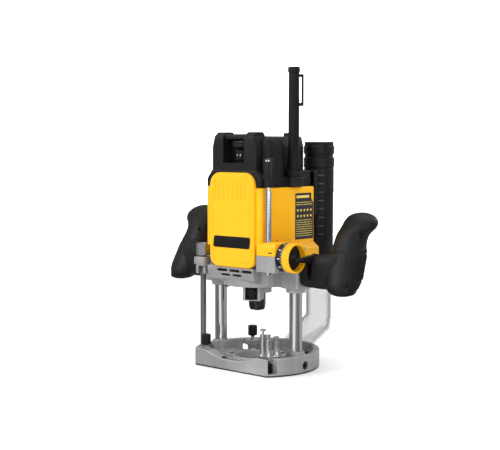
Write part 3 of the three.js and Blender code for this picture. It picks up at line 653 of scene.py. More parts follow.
def turret():
    """stop turret: notched disc, three posts and their slotted screws"""
    disc = lathe([(3.3, 20), (14.9, 20), (15.5, 20.5), (15.5, 25.2), (14.9, 25.9), (3.3, 25.9)],
                 TURRET)
    cut(disc, join([cyl(0.7, 19, 27, polar(TURRET, 15.8, t), n=10) for t in angles(24)]))
    # letter, body, heading, post top, screw top, heading of the slot
    for letter, body, heading, low, top, slot in (
            ("a", "turret", -176.9, 53, 60.5, 20), ("b", "stop_b", -56.9, 49, 55.5, 70),
            ("c", "stop_c", 63.1, 43, 50.7, -35)):
        centre = polar(TURRET, 10.7, math.radians(heading))
        x, y = centre
        fuse(disc, lathe([(1.8, 24.8), (4.8, 24.8), (4.8, 26.2), (4.5, 27.0), (4.5, low - 9),
                          (4.0, low - 8.4), (4.0, low - 0.5), (3.5, low), (1.8, low)],
                         centre, n=40))
        screw = lathe([(0, low - 11), (1.5, low - 11), (1.5, top - 2.5), (3.6, top - 2.5),
                       (3.9, top - 2.1), (3.9, top - 0.5), (3.4, top), (0, top)], centre, n=36)
        cut(screw, turn(box(x - 5, x + 5, y - 0.45, y + 0.45, top - 0.9, top + 1),
                        slot, centre))
        soft(screw)
        show(screw, body, "steel", "stop_screw_" + letter)
    soft(disc)
    show(disc, "turret", "steel", "turret_disc")


def groove_painted_shade():
    """painted shade in the front and rear fence rod grooves: dark U-shaped sheets inside them"""
    for side, name in ENDS:
        y = side * FENCE_ROD_Y
        # dark U-shaped sheet inside the groove: painted shade
        shade_sheet_and_lining = box(34, 66, y - 5.66, y + 5.66, 4.04, 17)
        cut(shade_sheet_and_lining, box(33, 67, y - 5.2, y + 5.2, 4.5, 18))
        show(shade_sheet_and_lining, "base", "painted_shade", name="groove_shade_sheet_" + name)


def rod_clamps():
    """fluted knobs on threaded studs"""
    for side, name in ENDS:
        centre = (-52.5, FENCE_ROD_Y * side)
        outline = [polar(centre, 6.8 - flute(t, 6, 0.75, 1.5), t) for t in angles(72)]
        knob = slab(outline, 30, 45, low_r=0.8, high_r=1.6)
        cut(knob, cyl(3.3, 29, 41, centre, n=30))
        soft(knob)
        show(knob, "clamp_" + name, "black", "rod_clamp_knob_" + name)
        profile = [(0, 14.5), (2.2, 14.5), (2.9, 15.4)]
        profile += thread(crest=2.95, root=2.5, start=15.6, pitch=1.1, turns=13, half=0.5)
        profile += [(2.95, 40.4), (0, 40.4)]
        show(lathe(profile, centre, n=28), "clamp_" + name, "steel", "rod_clamp_stud_" + name)


def height_limiter():
    low, high = 155, 172.6
    nut = slab(hexagon(LIMIT_ROD, 10.2, start=30), low, high, smooth=False)
    trim(nut, lathe([(0, low), (9.0, low), (10.4, 155.9), (10.4, 171.7), (9.0, high),
                     (0, high)], LIMIT_ROD, n=60))
    cut(nut, cyl(4.7, 150, 180, LIMIT_ROD))
    soft(nut, 20)
    show(nut, "limit_nut", "zinc", "limit_nut")
    collar = from_cad("limit_collar")
    bevel(collar, 0.35)
    soft(collar)
    show(collar, "limit_collar", "cast", "limit_collar")


# ================================================================== carriage casting
def carriage_casting():
    casting = from_cad("carriage_casting")
    for side in (-1, 1):
        fuse(casting, lathe([(9.6, 109.8), (12.6, 109.8), (13.4, 110.6), (13.4, 114.2),
                             (15.5, 116.4), (9.6, 116.4)], (COLUMN_X * side, 0), n=60))
    fuse(casting, cyl(4.6, 116.4, 124, APRON_SCREW, n=30))
    cut(casting, *[cyl(r, 100, top, (side * COLUMN_X, 0))
                   for r, top in ((9.4, 180), (11.35, 140)) for side in (1, -1)])
    remesh(casting, 0.6, 3, 0.5)
    show(casting, "carriage", "cast", "carriage_casting")
    screw = lathe([(0, 113.4), (2.6, 113.4), (3.5, 114.2), (3.5, 116.6), (0, 116.6)],
                  APRON_SCREW, n=30)
    cut(screw, cyl(1.5, 113, 115, APRON_SCREW, n=6))
    show(screw, "carriage", "dark_steel", name="apron_screw_look")


def carriage_shade_and_linings():
    """painted shade behind the louvres, and the lining of the lock button's recess"""
    # dark sheet behind the louvres: painted shade
    show(box(-33, 34, -44.6, -43.7, 129.4, 141.4), "carriage", "painted_shade",
         name="louvre_shade")
    _, y, z, heading = SPINDLE_LOCK
    shade_sheet_and_lining = box(32.03, 32.7, -8.35, 8.35, 98.4, 115.0)
    cut(shade_sheet_and_lining, cyl(7.2, 30, 36, (y, z), axis="x"))
    border = box(32.6, 36.9, -8.42, 8.42, 98.32, 115.08)
    cut(border, box(32, 38, -7.5, 7.5, 99.2, 114.2))
    fuse(shade_sheet_and_lining, border)
    turn(shade_sheet_and_lining, heading)
    show(shade_sheet_and_lining, "carriage", "black", name="lock_recess_lining")


# ================================================================== motor housing
def housing_outline(wall):
    return [(-47.2 + wall, -47.6 + wall), (47.2 - wall, -47.6 + wall),
            (47.2 - wall, -27 + wall / 2), (57 - wall, 3), (57 - wall, 57 - wall),
            (-57 + wall, 57 - wall), (-57 + wall, 3), (-47.2 + wall, -27 + wall / 2)]


def motor_housing():
    housing = slab(rounded(housing_outline(0), 3.0, 5), 157, 253.7, low_r=0.4, high_r=1.6)
    # skirt reaching out over the columns
    skirt = [(-66, 157.0), (66, 157.0), (66, 168.4, 2.5), (57.6, 175.5, 3), (54, 176.2),
             (-54, 176.2), (-57.6, 175.5, 3), (-66, 168.4, 2.5)]
    fuse(housing, slab(rounded(skirt, 0.5, 5), -19.4, 57, "y", low_r=1.5, high_r=1.5))
    inner = rounded(housing_outline(2.6), 2, 3)
    cut(housing, slab(inner, 150, 204), slab(inner, 207, 248.5), cyl(40, 200, 210, n=64))
    # upper bearing seat
    fuse(housing, cyl(17.5, 231.8, 249.5, n=60))
    cut(housing, cyl(13.3, 220, 245.3, n=60))
    for side in (-1, 1):
        column = (COLUMN_X * side, 0)
        cut(housing, cyl(13.6, 150, 180, column, n=60), cyl(9.6, 170, 260, column))
    cut(housing, box(49, 80, -30, -15, 150, 181.4), box(-90, -56, -17, 17, 150, 157.2),
        box(56, 90, -17, 17, 150, 157.2))
    # upright seams in both side walls
    cut(housing, box(56.5, 60, 12.6, 13.0, 176, 256), box(-60, -56.5, 12.6, 13.0, 176, 256))
    # label recesses
    recess = rounded([(14.2, 180.2), (54.6, 180.2), (54.6, 231), (50, 237), (50, 245.2),
                      (14.2, 245.2)], 1.2, 4)
    for x0, x1 in ((-58, -56.6), (56.6, 58)):
        cut(housing, slab(recess, x0, x1, "x"))
    soft(housing, 35)
    show(housing, "carriage", "yellow", "motor_housing")


def rating_labels():
    """label films printed with bars of random length and two rows of dots"""
    outline = rounded([(14.6, 180.6), (54.2, 180.6), (54.2, 231), (49.8, 236.6),
                       (49.8, 244.8), (14.6, 244.8)], 1.0, 4)
    for side, name in reversed(SIDES):
        x0, x1 = sorted((side * 56.55, side * 57.0))
        show(slab(outline, x0, x1, "x"), "carriage", "label", name="rating_label_" + name)
        x0, x1 = sorted((side * 56.95, side * 57.1))
        marks = [box(x0, x1, 17, 45, 238.0, 241.6)]
        draw = random.Random(3)
        z = 231.5
        while z > 184:
            y = 17.0
            while y < 50:
                width = draw.uniform(2.0, 7.0)
                if 209 < z < 226:
                    break
                marks.append(box(x0, x1, y, min(y + width, 51.5), z, z + 0.9))
                y += width + 1.1
            z -= 3.1
        marks += [cyl(1.7, x0, x1, (20 + i * 7.2, 213 + j * 8), axis="x", n=18)
                  for i in range(5) for j in range(2)]
        show(join(marks), "carriage", "mark_yellow", name="label_marks_" + name)


def arch(wall):
    """front cover's arched panel, moved inward by wall"""
    low_r, side, top = 14 - wall * 0.8, 41 - wall, 274 - wall
    return rounded([(-side, 144 + wall, low_r), (side, 144 + wall, low_r),
                    (side, top, 18 - wall), (-side, top, 18 - wall)], 8, 14)


def front_cover():
    """a plate across the housing, and the raised arched panel standing out of it"""
    cover = slab(rect(-50, 50, 172, 253.7, 0.5, 3), -50.5, -26.9, "y", low_r=3.0, high_r=0.4,
                 steps=6)
    fuse(cover, slab(arch(0), -54.5, -26.9, "y", low_r=2.6, high_r=0.4, steps=8))
    cut(cover, box(-47.6, 47.6, -47.9, 0, 100, 254.2), slab(arch(2.6), -51.8, -10, "y"))
    # upright flutes near the top
    pitch, half = 8, 2.7
    cut(cover, join([slab(rect(x - half, x + half, 236.5, 263.5, 2.6), -57, -53.75, "y",
                          high_r=0.7, steps=3) for x in range(-28, 36, pitch)]))
    seam = slab(arch(6.4), -56, -54.15, "y")
    cut(seam, slab(arch(7.1), -57, -53, "y"))
    cut(cover, seam)
    soft(cover, 30)
    show(cover, "carriage", "yellow", "front_cover")
    plate = rounded([(-34, 170.5), (33, 170.5), (35, 186.5), (-32, 186.5)], 3.0)
    show(slab(plate, -54.95, -54.2, "y", low_r=0.35), "carriage", "gloss",
         name="blank_nameplate")


# ================================================================== top cap
def bend(value, power):
    """signed power, which squares up a sine or cosine"""
    return math.copysign(abs(value) ** power, value)


def cap_lobe():
    """round-shouldered lobe on the right wall"""
    # height, how far the outline has drawn in
    stations = [(258, 0.0), (270, 0.0), (290, 0.3), (308, 1.0)]
    for degrees in (10, 20, 30, 40, 50, 60, 70, 80, 88):
        t = math.radians(degrees)
        stations.append((308 + 14 * math.sin(t), 1.0 + 8.5 * (1 - math.cos(t))))
    return rings([[(37 + (15.6 - drawn) * bend(math.cos(t + 0.011), 0.6),
                    -17.5 + (20.8 - drawn) * bend(math.sin(t + 0.011), 0.6), z)
                   for t in angles(72)] for z, drawn in stations])


def top_cap():
    # tower: a profile across the front, run front to back, with sloped upper corners
    profile = [(-40.5, 254, 0.5), (40.5, 254, 0.5), (40.5, 309, 4), (36.6, 323.5, 3),
               (-36.6, 323.5, 3), (-40.5, 309, 4)]
    cap = slab(rounded(profile, 2), -50, 55, "y", low_r=3.2, high_r=4.0, steps=6)
    # two raised pads on the front of the top
    pad = rounded([(-49.6, 316), (-49.6, 323.5, 1.2), (-42.5, 329, 1.5), (-28.5, 329, 1.5),
                   (-24, 323, 1.5), (-24, 316)], 0.8, 4)
    for x0, x1 in ((-36, -19.3), (19.3, 36)):
        fuse(cap, slab(pad, x0, x1, "x", low_r=1.2, high_r=1.2))
    # wider band across the front, and the shoulder behind it
    band = [(-50, 254, 0.3), (50, 254, 0.3), (50, 266, 9), (40.5, 278, 5), (-40.5, 278, 5),
            (-50, 266, 9)]
    fuse(cap, slab(rounded(band, 2, 8), -50.5, -24, "y", low_r=3.0, high_r=0.3, steps=6))
    shoulder = [(-50, -26.4), (50, -26.4), (54, 3), (54, 55), (-54, 55), (-54, 3)]
    fuse(cap, slab(rounded(shoulder, 4), 254, 268, high_r=3.0))
    # blocks at the right rear and round the cord
    fuse(cap, slab(rect(38, 53.5, 28, 54.6, 4), 254.2, 276, high_r=3.0))
    fuse(cap, slab(rect(36, 64.5, 1, 29, 8), 254.2, 268, high_r=2.0))
    fuse(cap, cap_lobe())
    # nest of the front cover, then the hollow
    nest = [(-41.4, 100, 0), (41.4, 100, 0), (41.4, 274.4, 18), (-41.4, 274.4, 18)]
    cut(cap, slab(rounded(nest, 0, 14), -60, -26.5, "y"))
    cut(cap, box(-37, 37, -22.8, 51.6, 250, 311), box(-34, 34, -22.8, 51.6, 300, 320))
    hollow = [(-47, -22.8), (47, -22.8), (51, 4), (51, 51.8), (-51, 51.8), (-51, 4)]
    cut(cap, slab(rounded(hollow, 2, 3), 250, 264.5))
    # front recess with slots in its left wall, and the windows of dial and switch
    cut(cap, box(-19, 19, -55, -33, 287, 335))
    cut(cap, join([box(-20.4, -18.5, -48.6, -35, 290.6 + 3.6 * i, 292.2 + 3.6 * i)
                   for i in range(9)]))
    cut(cap, box(-8.4, 12.4, -40, -20, 290.2, 304.6), box(-8.6, 12.6, -40, -20, 305.8, 320.4),
        cyl(2.3, 288.6, 305.4, DIAL, n=24))
    cut(cap, cyl(4, 250, 270, CORD, n=30))
    soft(cap, 34)
    show(cap, "carriage", "black", "top_cap")
    crossbar = rounded([(-46, 319.4), (-46, 324.6, 1.5), (-43, 326.4, 1.5), (-32.4, 326.4),
                        (-32.4, 319.4)], 0.8, 4)
    show(slab(crossbar, -19.3, 19.3, "x"), "carriage", "black", name="cap_crossbar")
    show(slab(rect(22, 34, 30, 44, 1.5), 323.0, 328.4, high_r=1.2), "carriage", "black",
         name="cap_rear_block")


def rear_cover():
    outer = [(-57, 57.3, 0.3), (57, 57.3, 0.3), (57, 68, 8), (-57, 68, 8)]
    inner = [(-54.4, 50, 0), (54.4, 50, 0), (54.4, 65.4, 6), (-54.4, 65.4, 6)]
    cover = slab(rounded(outer, 0.3, 8), 214, 276, low_r=2.0, high_r=3.0)
    cut(cover, slab(rounded(inner, 0), 216.6, 273.4))
    vents = []
    for row in range(7):
        z = 224 + 6.4 * row
        for x0, x1 in ((-44, -16), (-12, 12)):
            vents.append(slab(rect(x0, x1, z, 227 + 6.4 * row, 1.4, 4), 62, 70, "y"))
    cut(cover, join(vents))
    bevel(cover, 0.4, 40)
    soft(cover, 34)
    show(cover, "carriage", "black", "rear_cover")
    # dark sheet behind the vents: painted shade
    show(box(-52, 20, 63.4, 64.2, 219, 272), "carriage", "painted_shade", name="vent_painted_shade")


def cord_protector():
    bore, low, high = 3.6, 268.4, 418.2
    profile = [
        (bore, low), (11, low), (11, 272), (10.7, 273.2), (10.6, 275), (9.9, 281), (9.0, 289),
        (8.1, 300), (7.8, 306), (7.5, 360), (7.2, 408), (7.2, 410.0), (8.2, 411.2),
        (8.35, 416.8), (7.6, high), (bore, high)]
    sleeve = lathe(profile, CORD, n=64)
    # long flats moulded along the sleeve
    for k in range(8):
        cut(sleeve, swing(box(7.0, 12, -6, 6, 303, 409.6), 22.5 + 45 * k, *CORD))
    # ring grooves at the foot
    for i in range(5):
        z0, z1 = 277 + 4.4 * i, 278.8 + 4.4 * i
        cut(sleeve, lathe([(8.6, z0), (12, z0), (12, z1), (8.6, z1)], CORD, n=48))
    clip = slab(rounded([(5.6, 364.8), (13.4, 364.8), (13.4, 408.2), (5.6, 408.2), (5.6, 404.4),
                         (10.4, 404.4), (10.4, 369.2), (5.6, 369.2)], 0.6, 3), -2.4, 2.4, "y",
                low_r=0.6, high_r=0.6)
    fuse(sleeve, swing(clip, 38, *CORD))
    soft(sleeve, 30)
    show(sleeve, "carriage", "rubber", "cord_protector")


# ================================================================== dust tube
TUBE_PROFILE = [  # radius, height
    (19.3, 152), (20.9, 152), (20.9, 181), (20.5, 181.4), (20.5, 182.4), (20.9, 182.8),
    (20.9, 242.6), (21.5, 243.4), (21.5, 252), (21.2, 252.4), (21.2, 253.2), (21.5, 253.6),
    (21.5, 263), (21.2, 263.4), (21.2, 264.2), (21.5, 264.6), (21.5, 277.6), (21.0, 278.2),
    (21.0, 279.2), (22, 280), (22, 293.0), (20.4, 294.4), (20.4, 298.0), (22, 299.4),
    (22, 309.4), (21.4, 310.2), (20.9, 310.6), (20.9, 315.4), (20.3, 316), (19.3, 316)]


def dust_tube():
    tube = lathe(TUBE_PROFILE, DUST_TUBE, n=84)
    fuse(tube, slab(rect(30, 47, 57.4, 73, 1.0, 3), 160, 200, low_r=1.0, high_r=1.0))
    cut(tube, cyl(19.35, 140, 330, DUST_TUBE, n=84))
    # a ladder of short ribs; the pale strips on their outer faces are painted highlights
    painted_highlights = []
    for k in range(8):
        z = 184.5 + 12 * k
        r = 20.7 if z < 243 else 21.2
        rib = slab(rounded([(r, z - 0.8), (r + 1.0, z - 0.5), (r + 1.0, z + 0.5),
                            (r, z + 0.8)], 0.2, 2), -4.4, 4.4, "y", low_r=0.3, high_r=0.3)
        fuse(tube, swing(rib, -44, *DUST_TUBE))
        # pale strip on the rib's outer face: painted highlight
        tick_and_painted_highlight = slab(rect(r + 0.9, r + 1.12, z - 0.55, z + 0.55), -4.0, 4.0, "y")
        painted_highlights.append(swing(tick_and_painted_highlight, -44, *DUST_TUBE))
    # notches round the mouth
    x, y = DUST_TUBE
    cut(tube, *[turn(box(x + 20, x + 24, y - 2.2, y + 2.2, 303, 312), 30 + 60 * k, DUST_TUBE)
                for k in range(6)])
    soft(tube, 30)
    show(tube, "carriage", "black", "dust_tube")
    show(join(painted_highlights), "carriage", "tick_and_painted_highlight", name="dust_tube_painted_highlights")


# ================================================================== grips
# z, centre x, half width, half depth
GRIP = [
    [112, 150, 8, 8], [114, 150, 15, 14], [120, 147, 20, 19], [132, 145, 24, 22],
    [150, 142, 25, 23], [168, 141, 24, 22], [182, 139.5, 22, 21], [192, 141, 22.5, 20],
    [200, 146, 25, 19], [208, 148, 25, 17], [215, 147, 20, 14], [219, 146, 12, 9],
    [220.5, 146, 5, 4]]
# x, centre z, half height, half depth, centre y
ARM = [
    [86.3, 141, 20, 13, 0], [92, 141, 21.5, 14.5, 0], [104, 141, 22, 15, 1],
    [120, 142, 24, 17, 5], [138, 143, 24, 18, 11], [146, 143, 18, 14, 12]]


def station(rows, t):
    """smooth curve through the rows of a table, without its first column"""
    t = max(rows[0][0], min(rows[-1][0], t))
    i = next(k for k in range(len(rows) - 1) if t <= rows[k + 1][0])
    a, b = rows[i], rows[i + 1]
    before, after = rows[max(i - 1, 0)], rows[min(i + 2, len(rows) - 1)]
    h = b[0] - a[0]
    k = (t - a[0]) / h
    out = []
    for j in range(1, len(a)):
        slope_a = slope_b = b[j] - a[j]
        if i > 0:
            slope_a = (b[j] - before[j]) / (b[0] - before[0]) * h
        if i + 2 < len(rows):
            slope_b = (after[j] - a[j]) / (after[0] - a[0]) * h
        out.append((2 * k ** 3 - 3 * k * k + 1) * a[j] + (k ** 3 - 2 * k * k + k) * slope_a
                   + (-2 * k ** 3 + 3 * k * k) * b[j] + (k ** 3 - k * k) * slope_b)
    return out


def grip_y(z):
    """the grips lean back as they rise"""
    return 2 + 0.4663 * (z - 120)


def grip_point(side, z, angle, lift=0.0):
    """angle: 0 outward, -90 degrees to the front; lift stands off the surface"""
    centre, width, depth = station(GRIP, z)
    c, s = bend(math.cos(angle), 2 / 2.2), bend(math.sin(angle), 2 / 2.2)
    nx, ny = math.cos(angle) / width, math.sin(angle) / depth
    length = math.hypot(nx, ny)
    return (side * (centre + width * c + lift * nx / length),
            grip_y(z) + depth * s + lift * ny / length, z)


def grip_solid(side):
    heights = [112 + 2 * i for i in range(4)] + [121 + 2.2 * i for i in range(42)]
    heights += [214.5, 216.4, 218, 219.3, 220.5]
    grip = rings([[grip_point(side, z, t) for t in angles(64)] for z in heights])
    loops = []
    for i in range(31):
        x = 86.3 + (146 - 86.3) * i / 30
        z, height, depth, y = station(ARM, x)
        loops.append([(side * x, y + depth * bend(math.cos(t), 2 / 3),
                       z + height * bend(math.sin(t), 2 / 3)) for t in angles(56)])
    fuse(grip, rings(loops))
    return grip


def smooth_step(x, start, end):
    k = max(0.0, min(1.0, (x - start) / (end - start)))
    return k * k * (3 - 2 * k)


def grip_relief(angle, z):
    """how far the skin of the grip sinks; angle in degrees, as in grip_point"""
    d = 0.0
    # finger step across the inner front
    if -179 < angle < -50:
        w = smooth_step(angle, -179, -150) * (1 - smooth_step(angle, -75, -50))
        step = 169 + 2.5 * math.sin(math.radians(angle + 130) * 2)
        d -= 1.3 * w * math.exp(-((z - step) / 1.3) ** 2)
        d -= 0.5 * w * smooth_step(z, step, step + 1.5) * (
            1 - smooth_step(z, step + 6, step + 22))
    # parting edge that runs up the outer front to the beak
    if -60 < angle < 30 and z > 180:
        parting = -4 - 0.25 * (z - 180)
        d -= 0.7 * math.exp(-((angle - parting) / 2.6) ** 2) * (
            smooth_step(z, 182, 187) * (1 - smooth_step(z, 206, 213)))
    return d


def carve_grip(grip, side):
    mesh = grip.data
    count = len(mesh.vertices) * 3
    places, normals = np.empty(count), np.empty(count)
    mesh.vertices.foreach_get("co", places)
    mesh.vertices.foreach_get("normal", normals)
    places, normals = places.reshape(-1, 3) / MM, normals.reshape(-1, 3)
    places[:, 1] -= SHIFT_Y
    for i, (x, y, z) in enumerate(places):
        if x * side > 112 and 150 < z < 214:
            centre = side * station(GRIP, z)[0]
            angle = math.degrees(math.atan2(y - grip_y(z), (x - centre) * side))
            d = grip_relief(angle, z)
            if d:
                places[i] += normals[i] * d
    places[:, 1] += SHIFT_Y
    mesh.vertices.foreach_set("co", (places * MM).ravel())
    mesh.update()


def pad_height(angle, z, edge):
    """height of the pad over the grip; angle in degrees, edge: distance to the rim"""
    h = 0.75 * smooth_step(edge, 0.0, 1.2)
    # inner field: a groove round it and a diamond hatch inside
    field_a = min(angle + 24 - 0.16 * (z - 150), 74 - angle)
    field_z = min(z - 132 - 0.12 * max(0, 10 - angle), 167.5 - z - 0.10 * max(0, angle - 20))
    field = min(field_a * 0.42, field_z)
    h -= 0.55 * math.exp(-((field - 0.2) / 0.75) ** 2)
    if field > 1.2:
        arc = math.radians(angle) * 24
        waves = [(arc + z * 0.9) / 3.5, (arc - z * 0.9) / 3.5]
        hatch = min(abs(2 * (t - math.floor(t + 0.5))) for t in waves)
        h += 0.95 * (hatch * 1.6 - 0.25) * smooth_step(field, 1.2, 2.2)
    return h


def grip_pad(side, name, screw):
    """overmoulded pad on the outer side, hatched in its middle field"""
    first, last = -50.0, 105.0  # degrees round the grip
    reach = (last - first) * 0.42  # as mm of arc
    across, rise = ((210, 118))
    outer, inner = [], []
    for row in range(rise + 1):
        v = row / rise
        for column in range(across + 1):
            u = column / across
            angle = first + (last - first) * u
            top = 163 + 10 * smooth_step(angle, -50, 5) - 12 * smooth_step(angle, 50, 105)
            bottom = 121 + 12 * (1 - smooth_step(angle, -50, -30))
            bottom += 5 * smooth_step(angle, 60, 105)
            tall = top - bottom
            z = bottom + tall * v
            edge = min(u * reach, (1 - u) * reach, v * tall, (1 - v) * tall)
            t = math.radians(angle)
            outer.append(grip_point(side, z, t, pad_height(angle, z, edge)))
            inner.append(grip_point(side, z, t, -1.6))
    width, off = across + 1, len(outer)
    faces = []
    for row in range(rise):
        for column in range(across):
            a = row * width + column
            b, c, d = a + 1, a + width + 1, a + width
            faces += [(a, b, c, d), (off + d, off + c, off + b, off + a)]
    for row in range(rise):
        for column in (0, across):
            a = row * width + column
            faces.append((a, a + width, off + a + width, off + a))
    for column in range(across):
        for row in (0, rise):
            a = row * width + column
            faces.append((a, a + 1, off + a + 1, off + a))
    pad = new_object(outer + inner, faces)
    cut(pad, bar(3.2, -7.4, 9, screw))
    soft(pad, 45)
    show(pad, "carriage", "grip", name="grip_pad_" + name)


def mirrored(place, side):
    x, y, z, heading = place
    return place if side > 0 else (-x, y, z, 180 - heading)


def socket_screw(place, end, socket, name):
    head = bar(2.9, -7.2, end, place)
    cut(head, bar(1.3, socket, 0, place, n=6))
    show(head, "carriage", "dark_steel", name=name)


def handles():
    for side, name in SIDES:
        grip = grip_solid(side)
        if side > 0:
            # room for the lock lever, its screw and the depth wheel
            lever_room = rounded([(-22, 125), (-22, 190), (12, 190), (12, 146), (-4, 140)], 1, 3)
            cut(grip, slab(lever_room, 99.4, 106.8, "x"))
            cut(grip, cyl(3.4, 80, 101, LEVER_PIVOT, axis="x", n=30))
            cut(grip, cyl(20.4, 76, 99.5, DEPTH_WHEEL, axis="x", n=64))
        # softens the arm's root and the step where it meets the grip
        remesh(grip, 0.95, 6)
        carve_grip(grip, side)
        screws = {k: mirrored(place, side) for k, place in GRIP_SCREWS.items()}
        cut(grip, *[bar(3.2, -7.4, 9, place) for place in screws.values()])
        if side < 0:
            for k, place in screws.items():
                socket_screw(place, -2.6, -4.4, "handle_screw_" + k + "_left")
        place = mirrored(INNER_SCREW, side)
        cut(grip, bar(3.4, -7.4, 9, place))
        socket_screw(place, -3.6, -5.4, "handle_screw_inner_" + name)
        grip.data.polygons.foreach_set("use_smooth", [True] * len(grip.data.polygons))
        show(grip, "carriage", "black", "handle_" + name)
        grip_pad(side, name, screws["lower"])


# ================================================================== spindle nose
def collet_nut():
    low, high = 80, 102.6
    nut = slab(hexagon((0, 0), 12.7), low, high, smooth=False)
    trim(nut, lathe([(0, low), (9.6, low), (10.6, 80.8), (11.7, 85.2), (12.75, 86.4),
                     (12.75, 101.6), (11.6, high), (0, high)]))
    cut(nut, cyl(7.5, 83.4, 110), cyl(4.4, 70, 90, n=40))
    cut(nut, lathe([(11.9, 87.2), (14, 87.2), (14, 88.2), (11.9, 88.2)]))
    soft(nut, 22)
    show(nut, "collet_nut", "dark_steel", "collet_nut")


def lock_button():
    """stemmed button with two ring grooves in its face"""
    button = bar(6.5, 30, 35.2, SPINDLE_LOCK, n=48)
    fuse(button, bar(6.5, 35.2, 36, SPINDLE_LOCK, n=48, end_radius=5.8),
         bar(2.4, 14.3, 31, SPINDLE_LOCK, n=24))
    for r in (4.6, 2.6):
        groove = bar(r, 35.3, 37, SPINDLE_LOCK, n=40)
        cut(groove, bar(r - 0.7, 35, 38, SPINDLE_LOCK, n=40))
        cut(button, groove)
    soft(button, 30)
    show(button, "lock_button", "black", "spindle_lock_button", name="c")


# ================================================================== depth stop
def depth_rod_guide():
    profile = [(-53.5, 163.15, 0.6), (-53.5, 181, 7), (-20.2, 181, 5), (-20.2, 163.15, 0.6)]
    guide = slab(rounded(profile, 0.6, 7), 44.2, 77, "x", low_r=1.4, high_r=1.4)
    cut(guide, box(40, 50.3, -50.8, -10, 150, 190), cyl(4.8, 150, 190, DEPTH_ROD),
        cyl(9.3, 52.4, 63.4, DEPTH_WHEEL, axis="x", n=60),
        cyl(4.3, 51, 90, DEPTH_WHEEL, axis="x", n=30))
    soft(guide, 34)
    show(guide, "carriage", "yellow", "depth_rod_guide")
    # index mark and a raised oval on the guide's front, beside the ring
    show(slab(rect(66.0, 72.0, 167.0, 168.4, 0.5, 3), -53.75, -53.3, "y"), "carriage", "gloss",
         name="index_mark")
    show(slab(rect(60, 74, 169.2, 174.6, 2.6), -54.0, -53.3, "y", low_r=0.3), "carriage",
         "yellow", name="index_oval")
    rod = from_cad("depth_rod")
    soft(rod, 30)
    show(rod, "depth_rod", "chrome", "depth_rod")


def fine_knob():
    """fluted knob on the rod, with two small pointers"""
    profile = [(3.3, 254.6), (5.3, 254.6), (5.6, 255.2), (5.9, 262), (6.6, 270), (7.1, 280),
               (7.3, 286), (7.3, 291.6), (6.9, 293.0), (5.8, 293.7), (0, 293.7), (0, 281),
               (3.3, 281)]
    loops = []
    for t in angles(96):
        dip = flute(t, 24, 0.45)
        loops.append([(*polar(DEPTH_ROD, r - dip if r > 5 and 257 < h < 292.5 else r, t), h)
                      for r, h in profile])
    show(rings(loops, closed=True), "fine_knob", "gloss", "depth_fine_knob")
    marks = []
    for x in (DEPTH_ROD[0] - 1.7, DEPTH_ROD[0] + 1.7):
        pointer = rounded([(x - 1.3, 289.6), (x + 1.3, 289.6), (x, 292.2)], 0.2, 2)
        marks.append(turn(slab(pointer, -51.55, -50.3, "y"), 30, DEPTH_ROD))
    show(join(marks), "fine_knob", "mark_white", name="fine_knob_mark")


def wheel_lathe(profile, n=96):
    return lathe(profile, DEPTH_WHEEL, axis="x", n=n)


def depth_wheel():
    wheel = wheel_lathe([
        (4.3, 87.4), (19.4, 87.4), (20, 88), (20, 97.9), (19.4, 98.7), (18.2, 99), (17.7, 98.5),
        (17.2, 90.4), (16.8, 90), (7.2, 90), (6.4, 91.2), (6.0, 91.6), (4.3, 91.6)])
    cut(wheel, join([cyl(0.75, 89.4, 97.2, polar(DEPTH_WHEEL, 20.3, t), axis="x", n=10)
                     for t in angles(36)]))
    soft(wheel, 30)
    show(wheel, "depth_wheel", "yellow", "depth_wheel")
    show(wheel_lathe([(7.4, 89.7), (17.1, 89.7), (17.1, 90.5), (16.5, 90.9), (12, 90.6),
                      (7.4, 91.2)], n=72), "depth_wheel", "black", name="wheel_floor")
    show(wheel_lathe([(4.35, 91.5), (7.35, 90.8), (7.35, 92.6), (6.4, 93.4), (4.35, 93.4)],
                     n=40), "depth_wheel", "black", name="wheel_hub_cap")


def round_wheel(o, x, angle, lay):
    """lay a mark drawn at the spindle axis, then carry it round the wheel's axis"""
    o.data.transform(Matrix.Translation(metres(x, *DEPTH_WHEEL))
                     @ Matrix.Rotation(angle, 4, "X") @ lay @ UNSHIFT)
    return o


def scale_ring():
    """grooved ring with printed ticks, and small round marks in place of figures"""
    ring = wheel_lathe([(4.3, 77.3), (18.9, 77.3), (19.5, 77.9), (19.5, 86.5), (18.9, 87.1),
                        (4.3, 87.1)])
    cut(ring, join([cyl(0.6, 77, 80.2, polar(DEPTH_WHEEL, 19.6, 2 * math.pi * (i + 0.5) / 30),
                        axis="x", n=8) for i in range(30)]))
    soft(ring, 30)
    show(ring, "scale_ring", "black", "depth_scale_ring")
    marks = []
    # x, y, z become y, z, x
    cycle = Matrix(((0, 0, 1, 0), (1, 0, 0, 0), (0, 1, 0, 0), (0, 0, 0, 1)))
    for i, t in enumerate(angles(40)):
        start = 83.2 if i % 4 == 0 else 84.9
        tick_and_painted_highlight = slab(rect(19.35, 19.62, start, 86.6), -0.35, 0.35, "y")
        marks.append(round_wheel(tick_and_painted_highlight, 0, t, cycle))
    quarter = Matrix.Rotation(math.radians(90), 4, "Z")
    for t in angles(10):
        circle = cyl(1.25, 19.3, 19.62, axis="x", n=16)
        cut(circle, cyl(0.65, 19.0, 20, axis="x", n=12))
        marks.append(round_wheel(circle, 81.6, t, quarter))
    show(join(marks), "scale_ring", "mark_white", name="scale_marks")


